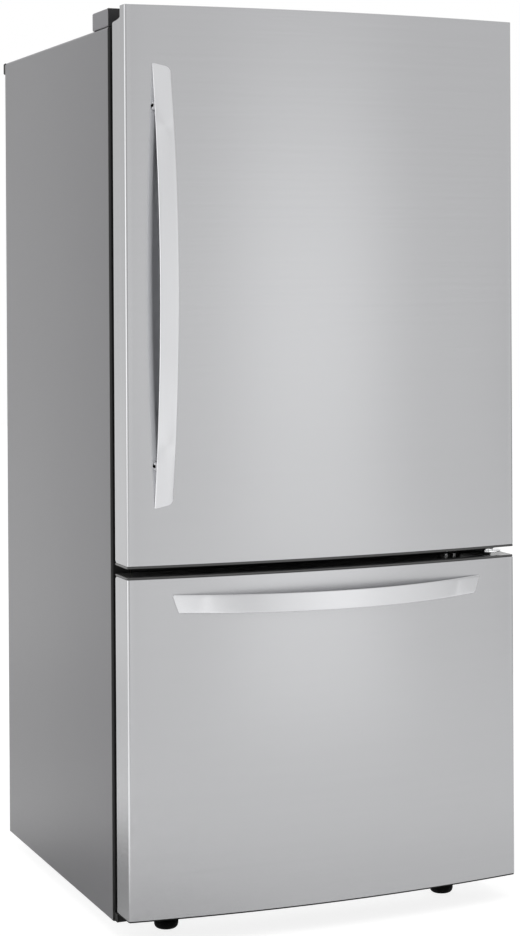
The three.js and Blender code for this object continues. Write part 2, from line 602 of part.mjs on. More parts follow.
// ---------------------------------------------------------------- freezer cooling

// Thin fins on both sides of a spine, with end plates and the return bends of the tube.
function evaporator() {
  const [half, pitch, t] = [260, 26, 1.2];
  const comb = [];
  for (let x = -half; x < half; x += pitch) comb.push([x, 15], [x, 42], [x + t, 42], [x + t, 15 + t]);
  comb.push([half, 15 + t], [half, 15 - t]);
  for (let x = half - pitch; x >= -half; x -= pitch) comb.push([x + t, 15 - t], [x + t, -12], [x, -12], [x, 15 - t]);
  const fins = alongZ(polygon(...comb.slice(0, -1)), [-12, 122]);
  const plates = [-1, 1].map((side) => box(span(side * half, 3), [-12, 59.7], [FREEZER.stepTop + CLEAR - 374, 122]));
  const bend = (side, z, row) => {
    const points = [];
    for (let i = 0; i <= 4; i++) {
      const turn = Math.PI * (i / 4 - 0.5);
      points.push(new THREE.Vector3(side * (half + 6 + 11 * Math.cos(turn)), row, z + 11 + 11 * Math.sin(turn)));
    }
    points.unshift(points[0].clone().setX(side * (half - 1)));
    points.push(points.at(-1).clone().setX(side * (half - 1)));
    return sweep(circle(0, 0, 4).getPoints(3).slice(0, 6), points);
  };
  const bends = [0, 30].flatMap((row) => [bend(1, 0, row), bend(-1, 22, row), bend(1, 44, row), bend(-1, 66, row)]);
  return join(fins, ...plates, ...bends);
}

const COLD_FAN = { x: 0, z: 572, y: 572, radius: 55 };

// The panel in front of the evaporator: air outlets above, a return below and the fan's mouth.
function evaporatorCover() {
  const half = CAVITY.half - CLEAR;
  const slot = (x, width, [z0, z1]) => box(span(x, width), [550, 560], [z0, z1]);
  const outlets = [-250, 250].flatMap((x) => [604, 622].map((z) => slot(x, 160, [z, z + 8])));
  const returns = [-250, -150, -50, 50, 150, 250].map((x) => slot(x, 70, [368, 378]));
  const mouth = [-30, -10, 10, 30].map((z) => {
    const reach = Math.sqrt(44 ** 2 - z ** 2);
    return slot(COLD_FAN.x, 2 * reach, [COLD_FAN.z + z - 6, COLD_FAN.z + z + 6]);
  });
  const panel = box([-half, half], [555, 558], [FREEZER.stepTop + CLEAR, FREEZER.top - CLEAR]);
  const motor = rod('y', [600, 626], [COLD_FAN.x, COLD_FAN.z], 22);
  const shaft = rod('y', [593.4, 601], [COLD_FAN.x, COLD_FAN.z], 3, 8);
  const arms = [-1, 1].flatMap((side) => [
    box(span(side * 66, 6), [557, 613], span(COLD_FAN.z, 10)),
    box(side > 0 ? [16, 69] : [-69, -16], [607, 613], span(COLD_FAN.z, 10)),
  ]);
  return join(cut(panel, ...outlets, ...returns, ...mouth), motor, shaft, ...arms);
}

add('evaporator', 'aluminium', evaporator(), (mesh) => mesh.position.set(0, 580, 374));
add('evaporator_cover', 'white', evaporatorCover());
add('evaporator_fan', 'white', fanWheel({ radius: COLD_FAN.radius, hub: 16, depth: 22, blades: 5 }), (mesh) => {
  mesh.position.set(COLD_FAN.x, COLD_FAN.y + 10, COLD_FAN.z);
  mesh.rotation.x = Math.PI / 2;
});

// ---------------------------------------------------------------- refrigerator space

// The air duct on the back wall, with outlets on both flanks at each shelf height.
function airDuct() {
  const y = CAVITY.fridgeBack - CLEAR;
  const face = polygon([-62, y], [-46, y - 20], [46, y - 20], [62, y]);
  const hollow = polygon([-57, y + 1], [-43.5, y - 17.5], [43.5, y - 17.5], [57, y + 1]);
  const [low, high] = [1108, 1684];
  const outlets = [1160, 1290, 1420, 1550, 1640].map((z) => box([-70, 70], [y - 15, y - 7], [z, z + 16]));
  return cut(alongZ(face, [low, high]), alongZ(hollow, [low + 2.5, high - 2.5]), ...outlets);
}

function lampHousing() {
  const top = CAVITY.fridgeTop - CLEAR;
  const profile = new THREE.Shape();
  profile.moveTo(70, top).lineTo(62, top - 10).quadraticCurveTo(66, top - 22, 84, top - 22);
  profile.lineTo(190, top - 16).quadraticCurveTo(214, top - 12, 220, top).closePath();
  return alongX(profile, [-150, 150], { bevel: 1.5 });
}

// A shelf: a glass plate in a moulded rim, over two steel brackets where it hangs on the wall.
function shelf([x0, x1], z, brackets = []) {
  const { front, back, thick } = SHELF;
  const rim = new THREE.Shape();
  rim.moveTo(front, z - 6).quadraticCurveTo(front, z + thick - 4, front + 6, z + thick - 4).lineTo(front + 20, z + 4);
  rim.lineTo(back - 26, z + 4).lineTo(back - 26, z + 10).lineTo(back - 20, z + 10).lineTo(back - 20, z);
  rim.lineTo(front + 18, z).lineTo(front + 14, z - 6).closePath();
  const pieces = [alongX(rim, [x0, x1])];
  for (const x of [x0, x1]) {
    const edge = x === x0 ? [x0, x0 + 9] : [x1 - 9, x1];
    pieces.push(box(edge, [front + 6, back - 20], [z - 5, z + 5]));
  }
  for (const x of brackets) {
    const side = x < (x0 + x1) / 2 ? x0 + 4 : x1 - 4;
    const arm = polygon([back - 6, z - 44], [back + 2, z - 44], [back + 2, z + 4], [front + 60, z + 2], [front + 60, z - 6], [back - 60, z - 14]);
    pieces.push(alongX(arm, span(x, 2)), box([Math.min(x, side), Math.max(x, side)], [back - 60, back - 40], [z - 5, z + 2]));
    pieces.push(box(span(x, 2), [back, back + 6.5], [z - 22, z - 14]));
  }
  return join(...pieces);
}

function wideShelf(z) {
  const { half, front, back, thick } = SHELF;
  const rim = new THREE.Shape();
  rim.moveTo(front - 32, z).lineTo(front - 32, z + 4).quadraticCurveTo(front - 30, z + thick, front - 22, z + thick);
  rim.lineTo(front - 10, z + 6).lineTo(back - 20, z + 6).lineTo(back - 20, z + 14).lineTo(back - 12, z + 14).lineTo(back - 12, z).closePath();
  return alongX(rim, [-half, half]);
}

add('air_duct', 'white', airDuct());
add('lamp_housing', 'white', lampHousing());
add('pantry_shelf', 'clear', wideShelf(PANTRY.shelf));
add('crisper_shelf', 'clear', wideShelf(CRISPER.shelf));
add('upper_shelf_left', 'clear', shelf([-360, -4], 1516, [-335, -100]));
add('upper_shelf_right', 'clear', shelf([4, 360], 1456, [100, 335]));
add('lower_shelf', 'clear', shelf([-360, 360], 1276, [-335, -100, 100, 335]));

// A drawer with a taller, thicker front and a finger lip along its top.
function foodDrawer([x0, x1], { front, back, floor, rim }) {
  const body = tub([x0, x1], [front + 8, back], [floor, rim - 12], { wall: 2.5, draft: 6, radius: 12 });
  const face = new THREE.Shape();
  face.moveTo(front + 4, floor).lineTo(front, floor + 10).lineTo(front, rim - 6).quadraticCurveTo(front, rim, front + 6, rim);
  face.lineTo(front + 26, rim).lineTo(front + 26, rim - 10).lineTo(front + 23, rim - 10).lineTo(front + 23, rim - 4);
  face.lineTo(front + 9, rim - 4).lineTo(front + 9, rim - 14).lineTo(front + 12, rim - 20).lineTo(front + 14, floor).closePath();
  return join(body, alongX(face, [x0, x1]));
}

add('pantry_drawer', 'clear', foodDrawer([-PANTRY.half, PANTRY.half], PANTRY));
add('crisper_left', 'clear', foodDrawer([-PANTRY.half, -6], CRISPER));
add('crisper_right', 'clear', foodDrawer([6, PANTRY.half], CRISPER));

// ---------------------------------------------------------------- door and drawer fronts

// The front is bowed across the width: a parabola from edge to edge, with small corner radii.
const bowY = (x) => -(DOOR.edge + DOOR.sagitta * (1 - (x / HALF) ** 2));

function frontOutline(inset, backY) {
  const h = HALF - inset;
  const r = DOOR.corner;
  const turn = h - r;
  const at = bowY(turn) + inset;
  const crown = at - (2 * DOOR.sagitta * turn ** 2) / HALF ** 2;
  const shape = new THREE.Shape();
  shape.moveTo(-h, backY).lineTo(-h, at + r).quadraticCurveTo(-h, at, -turn, at);
  shape.quadraticCurveTo(0, crown, turn, at).quadraticCurveTo(h, at, h, at + r);
  return shape.lineTo(h, backY).closePath();
}

const CURVE = { segments: 14 };

// The wrapped steel front, open behind, with short returns at the rear of its sides.
function frontSkin([z0, z1]) {
  const outer = alongZ(frontOutline(0, -DOOR.back), [z0, z1], CURVE);
  const hollow = alongZ(frontOutline(SHEET, -DOOR.back - SHEET), [z0 - 1, z1 + 1], CURVE);
  const mouth = box([-HALF + 11, HALF - 11], [-DOOR.back - 3, -DOOR.back + 3], [z0 - 1, z1 + 1]);
  return cut(outer, hollow, mouth);
}

// Everything above the low rear part of the door's stepped top.
function aboveStep() {
  const { y, rise, back } = STEP;
  const shape = new THREE.Shape();
  shape.moveTo(-y, 1800).lineTo(-y, rise).quadraticCurveTo(-y + 10, back + 1, -DOOR.back - 8, back);
  shape.quadraticCurveTo(-DOOR.back, back - 1, -DOOR.back + 2, back - 8);
  shape.lineTo(0, back - 8).lineTo(0, 1800).closePath();
  return alongX(shape, [-HALF - 2, HALF + 2]);
}

const hingePocket = () => box([HINGE.pocketX, HALF + 2], [-HINGE.pocketY, 0], [HINGE.pocketZ, 1800]);

function doorTopCap() {
  const block = alongZ(frontOutline(SHEET + CLEAR, -DOOR.back), [1746, DOOR.top], CURVE);
  const tongue = box([-HALF, HALF], [-DOOR.back - SHEET - CLEAR, 0], [1740, STEP.back - 14]);
  const returns = [-1, 1].map((side) => box(span(side * (HALF - 5), 13), [-DOOR.back - SHEET - CLEAR, 0], [1740, 1800]));
  const bore = rod('z', [1750, 1800], [HINGE.x, HINGE.y], HINGE.pin + 0.6);
  return cut(block, tongue, ...returns, aboveStep(), hingePocket(), bore);
}

function doorBottomCap() {
  const flange = alongZ(frontOutline(0.4, -DOOR.back), [DOOR.bottom, DOOR.steelBottom - CLEAR], CURVE);
  const plug = alongZ(frontOutline(SHEET + CLEAR, -DOOR.back - 2), [DOOR.bottom + 1, DOOR.steelBottom + 14], CURVE);
  const boss = rod('z', [DOOR.bottom - 5.5, DOOR.bottom + 2], [HINGE.x, HINGE.y], 12);
  const bore = rod('z', [DOOR.bottom - 8, DOOR.steelBottom + 11], [HINGE.x, HINGE.y], HINGE.pin + 0.6);
  return cut(join(flange, plug, boss), bore);
}

// The inner liner with the foam bonded in behind it: a slab that fills the skin, and a raised dike.
function innerDoor([z0, z1], { dike, pocket, wall }) {
  const slab = alongZ(frontOutline(SHEET + CLEAR + 0.1, -DOOR.back - SHEET - CLEAR), [z0, z1], CURVE);
  const panel = box([-HALF + 12, HALF - 12], [-DOOR.back - 3, -DOOR.back], [z0, z1]);
  const ridge = alongY(rectangle([-dike.half, dike.half], dike.z, 26), [-DOOR.back - 3, dike.reach], { bevel: 3, segments: 4 });
  const well = alongY(
    rectangle([-dike.half + wall, dike.half - wall], [dike.z[0] + wall, dike.z[1] - wall], 6),
    [pocket, dike.reach + 5],
    { segments: 4 },
  );
  return cut(join(slab, panel, ridge), well);
}

// A door seal: base, narrow bellows and magnet bulb, as one closed ring.
function seal([z0, z1]) {
  const back = -DOOR.back + CLEAR;
  const ring = (inset, [y0, y1]) => {
    const [h, w] = [SEAL.half - inset, SEAL.width - 2 * inset];
    const outline = rectangle([-h, h], [z0 + inset, z1 - inset]);
    const hole = rectangle([-h + w, h - w], [z0 + inset + w, z1 - inset - w], 0, true);
    return alongY(withHoles(outline, hole), [y0, y1]);
  };
  return join(ring(0, [back, back + 4]), ring(4, [back + 3.5, SEAL.front - 6.5]), ring(0, [SEAL.front - 7, SEAL.front]));
}

add('door_skin', 'steel', cut(frontSkin([DOOR.steelBottom, DOOR.top]), aboveStep(), hingePocket()));
add('door_top_cap', 'cap', doorTopCap());
add('door_bottom_cap', 'cap', doorBottomCap());
const DOOR_DIKE = { half: 350, z: [792, 1690], reach: 14 };
add('door_liner', 'white', innerDoor([DOOR.steelBottom + 14 + CLEAR, 1746 - CLEAR], { dike: DOOR_DIKE, pocket: -34, wall: 33.7 }));
add('door_gasket', 'seal', seal([SEAL.doorBottom, SEAL.doorTop]));

function drawerSkin() {
  const wrap = frontSkin([DRAWER.bottom, DRAWER.steelTop]);
  const underside = alongZ(frontOutline(0.5, -DOOR.back - 0.5), [DRAWER.bottom, DRAWER.bottom + SHEET], CURVE);
  return join(wrap, underside);
}

function drawerTopCap() {
  const flange = alongZ(frontOutline(0.4, -DOOR.back), [DRAWER.steelTop + CLEAR, DRAWER.top], CURVE);
  const plug = alongZ(frontOutline(SHEET + CLEAR, -DOOR.back - 2), [DRAWER.steelTop - 12, DRAWER.top - 1], CURVE);
  return join(flange, plug);
}

const DRAWER_DIKE = { half: 338, z: [118, 640], reach: 10 };
add('drawer_skin', 'steel', drawerSkin());
add('drawer_top_cap', 'cap', drawerTopCap());
add('drawer_liner', 'white', innerDoor([DRAWER.bottom + SHEET + CLEAR, DRAWER.steelTop - 12 - CLEAR], { dike: DRAWER_DIKE, pocket: -30, wall: 30 }));
add('drawer_gasket', 'seal', seal([SEAL.drawerBottom, SEAL.drawerTop]));

// ---------------------------------------------------------------- handles

// A bowed strip along X that stands off in +Z, its tips resting against the surface below.
// Its front edges are chamfered and both ends are cut at a slant, so the +Y edge is the longer.
function handle({ half, slant, reach, surface, screwSide }) {
  const { width, thick, chamfer, tip, post: postWidth } = STRIP;
  const w = width / 2;
  const flank = postWidth / 2;
  const rise = (t) => tip + (reach - tip) * (1 - t * t);
  const rings = [];
  for (let i = 0; i <= 24; i++) {
    const t = i / 12 - 1;
    const depth = Math.min(thick, rise(t) - CLEAR);
    const c = Math.min(chamfer, depth / 2);
    const corners = [[-w, depth], [w, depth], [w, c], [w - c, 0], [-w + c, 0], [-w, c]];
    rings.push(corners.map(([v, below]) => {
      const u = t * (half - (slant * (w - v)) / width);
      return [u, v, surface(u) + rise(t) - below];
    }));
  }
  const posts = [-0.81 * half, 0.81 * half].map((u) => {
    const base = surface(Math.abs(u) - 8) + CLEAR;
    const post = box(span(u, 16), [-flank, flank], [base, surface(u) + rise(u / half) - thick / 2]);
    const socket = [screwSide * (flank - 6), screwSide * (flank + 1)].sort((a, b) => a - b);
    return cut(post, rod('y', socket, [u, base + 6], 2.8, 10));
  });
  return join(ruled(rings), ...posts);
}

// The door's handle stands upright and follows the slope of the bowed skin beside it.
const slopeAt = (x) => (2 * DOOR.sagitta * x) / HALF ** 2;
function doorHandle() {
  const half = (DOOR_HANDLE.top - DOOR_HANDLE.bottom) / 2;
  return handle({ ...DOOR_HANDLE, half, surface: () => 0, screwSide: 1 });
}

function drawerHandle() {
  return handle({ ...DRAWER_HANDLE, surface: (u) => DOOR.sagitta * (1 - (u / HALF) ** 2), screwSide: -1 });
}

const UPRIGHT = new THREE.Matrix4().makeBasis(new THREE.Vector3(0, 0, 1), new THREE.Vector3(-1, 0, 0), new THREE.Vector3(0, -1, 0));
const LEVEL = new THREE.Matrix4().makeBasis(new THREE.Vector3(1, 0, 0), new THREE.Vector3(0, 0, 1), new THREE.Vector3(0, -1, 0));
add('door_handle', 'steel', doorHandle().applyMatrix4(UPRIGHT), (mesh) => {
  mesh.position.set(DOOR_HANDLE.x, bowY(DOOR_HANDLE.x), (DOOR_HANDLE.bottom + DOOR_HANDLE.top) / 2);
  mesh.rotation.z = Math.atan(slopeAt(DOOR_HANDLE.x));
});
add('drawer_handle', 'steel', drawerHandle().applyMatrix4(LEVEL), (mesh) => mesh.position.set(0, -DOOR.edge, DRAWER_HANDLE.z));

// ---------------------------------------------------------------- door storage

const BIN = { half: 316, back: -32, floor: 0, reach: 84 };

// A door bin: a deep tray with a bowed front rail, hung between the dike walls.
function doorBin(z, height, reach = BIN.reach) {
  const outline = (inset) => {
    const h = BIN.half - inset;
    const shape = new THREE.Shape();
    shape.moveTo(-h, BIN.back + inset).lineTo(h, BIN.back + inset).lineTo(h, reach - 26 - inset);
    shape.quadraticCurveTo(h - 6, reach - 14 - inset, h - 30, reach - 12 - inset);
    shape.quadraticCurveTo(0, reach + 12 - inset, -h + 30, reach - 12 - inset);
    return shape.quadraticCurveTo(-h + 6, reach - 14 - inset, -h, reach - 26 - inset).closePath();
  };
  const smooth = { segments: 8 };
  const outer = alongZ(outline(0), [z, z + height], smooth);
  const hollow = alongZ(outline(2.5), [z + 2.5, z + height + 1], smooth);
  const window = box([-BIN.half + 40, BIN.half - 40], [reach - 40, reach + 20], [z + height * 0.45, z + height - 14]);
  return cut(outer, hollow, window);
}

const DAIRY = { floor: 1440, top: 1600, pivotY: -8, pivotZ: 1590, pin: 3 };

// The dairy box: solid end walls that carry the lid's pivots.
function dairyBox() {
  const half = BIN.half;
  const side = new THREE.Shape();
  const { floor, top, pivotY, pivotZ, pin } = DAIRY;
  side.moveTo(BIN.back, floor).lineTo(60, floor).quadraticCurveTo(76, floor, 78, floor + 20).lineTo(80, floor + 84);
  side.quadraticCurveTo(76, top - 34, 34, top - 6).lineTo(10, top).lineTo(BIN.back, top).closePath();
  const wall = 2.5;
  const hollow = box([-half + wall, half - wall], [BIN.back + wall, 76 - wall], [floor + wall, top + 5]);
  const shell = alongX(side, [-half, half]);
  const mouth = box([-half + wall, half - wall], [BIN.back + wall, 120], [floor + 84, top + 5]);
  const bore = rod('x', [-half - 1, half + 1], [pivotY, pivotZ], pin + 0.3, 12);
  return cut(shell, hollow, mouth, bore);
}

// A curved clear flap; its pivot rod turns in the end walls.
function dairyLid() {
  const { pivotY, pivotZ, floor, pin } = DAIRY;
  const [y1, z1] = [80, floor + 87];
  const curve = (grow) => [[pivotY, pivotZ + 1 - grow], [y1 * 0.62 - grow * 0.5, pivotZ - 8 - grow], [y1 - grow, z1 + 12]];
  const shape = new THREE.Shape();
  const [a, b, c] = curve(0);
  const [d, e, f] = curve(2);
  shape.moveTo(...a).quadraticCurveTo(...b, ...c).lineTo(y1 + 1, z1).lineTo(y1 + 6, z1).lineTo(y1 + 6, z1 - 2);
  shape.lineTo(y1 - 1.5, z1 - 2).lineTo(...f).quadraticCurveTo(...e, ...d).closePath();
  const flap = alongX(shape, [-BIN.half + 4, BIN.half - 4], { segments: 8 });
  return join(flap, rod('x', [-BIN.half + 0.5, BIN.half - 0.5], [pivotY, pivotZ], pin, 12));
}

add('door_bin_lower', 'clear', doorBin(832, 130, BIN.reach));
add('door_bin_middle', 'clear', doorBin(1040, 104, BIN.reach));
add('door_bin_upper', 'clear', doorBin(1240, 104, BIN.reach));
add('dairy_box', 'white', dairyBox());
add('dairy_lid', 'clear', dairyLid());

// ---------------------------------------------------------------- freezer drawer hardware

// The three nested members of one slide, drawn in XZ for the right-hand side.
function outerRail() {
  const { bottom, top, front, back } = RAIL;
  const wall = CAVITY.half - CLEAR;
  const channel = polygon(
    [wall, bottom], [wall, top - CLEAR], [wall - 9, top - CLEAR], [wall - 9, top - 1.8],
    [wall - 1.5, top - 1.8], [wall - 1.5, bottom + 1.5], [wall - 9, bottom + 1.5], [wall - 9, bottom],
  );
  return alongY(channel, [front, back]);
}

function middleRail() {
  const [low, high] = [RAIL.bottom + 3.5, RAIL.top - 3.8];
  const web = [359, 360.5];
  const beam = join(
    alongY(rectangle(web, [low, high]), [RAIL.front + 4, RAIL.back - 4]),
    alongY(rectangle([355, 363], [low, low + 1.5]), [RAIL.front + 4, RAIL.back - 4]),
    alongY(rectangle([355, 363], [high - 1.5, high]), [RAIL.front + 4, RAIL.back - 4]),
  );
  return beam;
}

// The inner member, its basket ledge and the plate that screws to the drawer's inner face.
function slideBracket() {
  const [low, high] = [RAIL.bottom + 7, RAIL.top - 3.5];
  const run = [-DOOR.back + CLEAR + 1, RAIL.back - 8];
  const web = alongY(rectangle([349, 350.5], [low, high]), run);
  const lower = alongY(rectangle([349, 357.5], [low, low + 1.5]), [RAIL.front, RAIL.back - 8]);
  const upper = alongY(rectangle([349, 357.5], [high - 5.5, high - 4]), [RAIL.front, RAIL.back - 8]);
  const ledge = alongY(rectangle([339, 350], [high - 1.5, high]), [BASKET.front - 4, RAIL.back - 8]);
  const plate = box([342, 372], [-DOOR.back + CLEAR, -DOOR.back + CLEAR + 2], [RAIL.bottom - 40, RAIL.top + 30]);
  const gusset = alongX(polygon([-20, RAIL.bottom - 36], [RAIL.front - 4, low + 1], [RAIL.front - 4, high - 4.5], [-20, RAIL.top + 26]), [349, 350.5]);
  return join(web, lower, upper, ledge, plate, gusset);
}

add('slide_outer_right', 'zinc', outerRail());
add('slide_outer_left', 'zinc', mirrorX(outerRail()));
add('slide_middle_right', 'zinc', middleRail());
add('slide_middle_left', 'zinc', mirrorX(middleRail()));
add('slide_bracket_right', 'zinc', slideBracket());
add('slide_bracket_left', 'zinc', mirrorX(slideBracket()));

// The deep basket hangs by its rim on the slide ledges.
function basket() {
  const { half, front, back, floor, rim } = BASKET;
  const body = tub([-half, half], [front, back], [floor, rim + 3], { wall: 2.5, draft: 10, radius: 8, rim: 0 });
  const ledge = (side) => box(span(side * (half + 4), 10), [front + 20, back - 20], [rim, rim + 3]);
  const lip = polygon([front + 1, rim - 22], [front - 4, rim - 22], [front - 4, rim + 3], [front + 1, rim + 3]);
  return join(body, ledge(-1), ledge(1), alongX(lip, [-half + 26, half - 26]));
}

add('freezer_basket', 'clear', basket());
// The tray slides on two runners along the basket's rim.
function tray() {
  const { half, front, back, floor, rim } = TRAY;
  const runner = (side) => box(span(side * (half + 2), 36), [front + 26, back - 26], [floor - 0.6, floor + 2]);
  return join(tub([-half, half], [front, back], [floor, rim], { draft: 10, radius: 20, rim: 5 }), runner(-1), runner(1));
}

add('freezer_tray', 'clear', tray());

export default appliance;
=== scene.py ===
"""Bottom freezer refrigerator: the looks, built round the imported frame.

Everything is in metres in the part's own frame: +X right, -Y front, +Z up.
The shapes below are written in millimetres, with y = 0 on the cabinet's front face,
and cabinet_point() brings them into that frame.
"""

import json
import math
from collections import namedtuple

import bmesh
import bpy
from mathutils import Matrix, Vector


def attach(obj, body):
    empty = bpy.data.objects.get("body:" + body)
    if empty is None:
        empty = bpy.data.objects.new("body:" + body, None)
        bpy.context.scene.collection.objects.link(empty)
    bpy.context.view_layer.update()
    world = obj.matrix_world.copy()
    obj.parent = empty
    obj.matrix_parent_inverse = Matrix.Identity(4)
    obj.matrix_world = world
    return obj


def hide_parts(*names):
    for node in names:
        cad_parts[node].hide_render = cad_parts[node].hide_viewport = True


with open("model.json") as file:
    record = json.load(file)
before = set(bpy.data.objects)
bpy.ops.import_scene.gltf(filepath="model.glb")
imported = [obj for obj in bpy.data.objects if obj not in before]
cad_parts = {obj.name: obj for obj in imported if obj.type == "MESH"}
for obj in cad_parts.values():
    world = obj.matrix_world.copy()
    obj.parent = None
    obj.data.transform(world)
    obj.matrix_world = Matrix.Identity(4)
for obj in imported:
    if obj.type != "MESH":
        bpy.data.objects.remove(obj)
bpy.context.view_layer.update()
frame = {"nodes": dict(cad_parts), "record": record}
NODES = frame["nodes"]

# ---------------------------------------------------------------- sizes (mm, from the cabinet's front face)

FRONT_SHIFT = 282.5  # the part's middle lies this far behind the cabinet's front face
HALF = 416.0  # half the width of the cabinet, the door and the drawer
SHEET = 1.0  # thickness of the folded sheets
FOLD_EASE = 0.4  # a sheet's inner face starts this far past its folds
DOOR_EDGE, DOOR_BACK = 91.0, 21.0  # front and back of the door's and drawer's sheets, at their sides
DOOR_BOW = 31.0  # how much further their middle stands out
DOOR_LOW, DOOR_HIGH = 726.0, 1790.0
DRAWER_LOW, DRAWER_HIGH = 51.0, 701.0


def cabinet_point(x, y, z):
    """A point given in millimetres from the cabinet's front face, in the part's frame."""
    return Vector((x / 1000, (y - FRONT_SHIFT) / 1000, z / 1000))


# ---------------------------------------------------------------- meshes

SQUARE = ((0, 0), (1, 0), (1, 1), (0, 1))
WELD = 2e-6  # metres; points closer than this become one


def added(name, data):
    """A new object for a mesh, lamp or camera, linked into the scene."""
    obj = bpy.data.objects.new(name, data)
    bpy.context.scene.collection.objects.link(obj)
    return obj


def piece(name, shells, body, smooth):
    """One mesh piece from shells of (points in mm, faces); edges flatter than smooth degrees round off."""
    mesh = bpy.data.meshes.new(name)
    build = bmesh.new()
    for points, faces in shells:
        made = [build.verts.new(cabinet_point(*p)) for p in points]
        for face in faces:
            build.faces.new([made[i] for i in face])
    bmesh.ops.remove_doubles(build, verts=build.verts, dist=WELD)
    bmesh.ops.recalc_face_normals(build, faces=build.faces)
    build.to_mesh(mesh)
    build.free()
    obj = added(name, mesh)
    mesh.shade_smooth()
    mesh.set_sharp_from_angle(angle=math.radians(smooth))
    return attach(obj, body)


def lofted(rings, closed=True, loop=False):
    """A shell over rings of equally many points; loop joins the last ring to the first."""
    count = len(rings[0])
    points = [p for ring in rings for p in ring]
    faces = []
    for i in range(len(rings) if loop else len(rings) - 1):
        a, b = i * count, ((i + 1) % len(rings)) * count
        for j in range(count if closed else count - 1):
            k = (j + 1) % count
            faces.append((a + j, a + k, b + k, b + j))
    if closed and not loop:
        last = (len(rings) - 1) * count
        faces.append(tuple(reversed(range(count))))
        faces.append(tuple(range(last, last + count)))
    return points, faces


def upright_plate(plan, heights):
    """A shell with one plan, as (x, y), between two heights."""
    return lofted([[(x, y, z) for x, y in plan] for z in heights])


def block(x, y, z):
    """A shell for a plain bar inside a larger piece."""
    return upright_plate([(x[i], y[j]) for i, j in SQUARE], z)


def arc(centre, radius, start, end, steps):
    """Points of a circular arc, angles in degrees."""
    angles = [math.radians(start + (end - start) * i / steps) for i in range(steps + 1)]
    return [(centre[0] + radius * math.cos(a), centre[1] + radius * math.sin(a)) for a in angles]


def quadratic(a, b, c, steps):
    """Points of a quadratic curve from a to c drawn towards b."""
    points = []
    for i in range(steps + 1):
        t = i / steps
        points.append(tuple((1 - t) ** 2 * p + 2 * t * (1 - t) * q + t * t * r for p, q, r in zip(a, b, c)))
    return points


def quarter(steps, reverse=False):
    """Angles over a quarter turn, in radians."""
    angles = [math.pi / 2 * i / steps for i in range(steps + 1)]
    return angles[::-1] if reverse else angles


def full_turn(sides):
    """Angles round a full turn, in radians."""
    return [2 * math.pi * i / sides for i in range(sides)]


def rolled_edge(edge, radius, rise, angles):
    """A rounded edge as (inset, height); rise is 1 where edge is the top and -1 where it is the bottom."""
    return [(radius * (1 - math.cos(a)), edge - rise * radius * (1 - math.sin(a))) for a in angles]


def turned(profile, x, y, sides):
    """A shell turned round an upright axis at x, y; profile is (radius, height), from axis to axis."""
    rings = [[(x + r * math.cos(a), y + r * math.sin(a), z) for r, z in profile] for a in full_turn(sides)]
    return lofted(rings, closed=False, loop=True)


# ---------------------------------------------------------------- node trees

MIX_FACTOR, MIX_DARK, MIX_LIGHT, MIX_RESULT = 0, 6, 7, 2  # a Mix node's sockets when it mixes colours


class Nodes:
    """Short ways to add nodes to one tree and join them."""

    def __init__(self, tree):
        self.tree = tree

    def node(self, kind, **settings):
        made = self.tree.nodes.new(kind)
        for key, value in settings.items():
            setattr(made, key, value)
        return made

    def link(self, source, target):
        self.tree.links.new(source, target)

    def maths(self, operation, *values):
        made = self.node("ShaderNodeMath", operation=operation)
        for socket, value in zip(made.inputs, values):
            if isinstance(value, (int, float)):
                socket.default_value = value
            else:
                self.link(value, socket)
        return made.outputs[0]

    def weighed(self, first, second, share):
        """The first value at the given share and the second at the rest."""
        one = self.maths("MULTIPLY", first, share)
        other = self.maths("MULTIPLY", second, 1 - share)
        return self.maths("ADD", one, other)

    def ranged(self, source, result, span=(0.0, 1.0), **settings):
        """Carries a span of the source over to the resulting low and high value."""
        made = self.node("ShaderNodeMapRange", **settings)
        for key, value in zip(("From Min", "From Max", "To Min", "To Max"), (*span, *result)):
            made.inputs[key].default_value = value
        self.link(source, made.inputs["Value"])
        return made.outputs["Result"]

    def seen(self):
        """1 for what the camera sees, also in gloss and through glass, and 0 for light on the object."""
        rays = self.node("ShaderNodeLightPath")
        direct = self.maths("MAXIMUM", rays.outputs["Is Camera Ray"], rays.outputs["Is Glossy Ray"])
        return self.maths("MAXIMUM", direct, rays.outputs["Is Transmission Ray"])


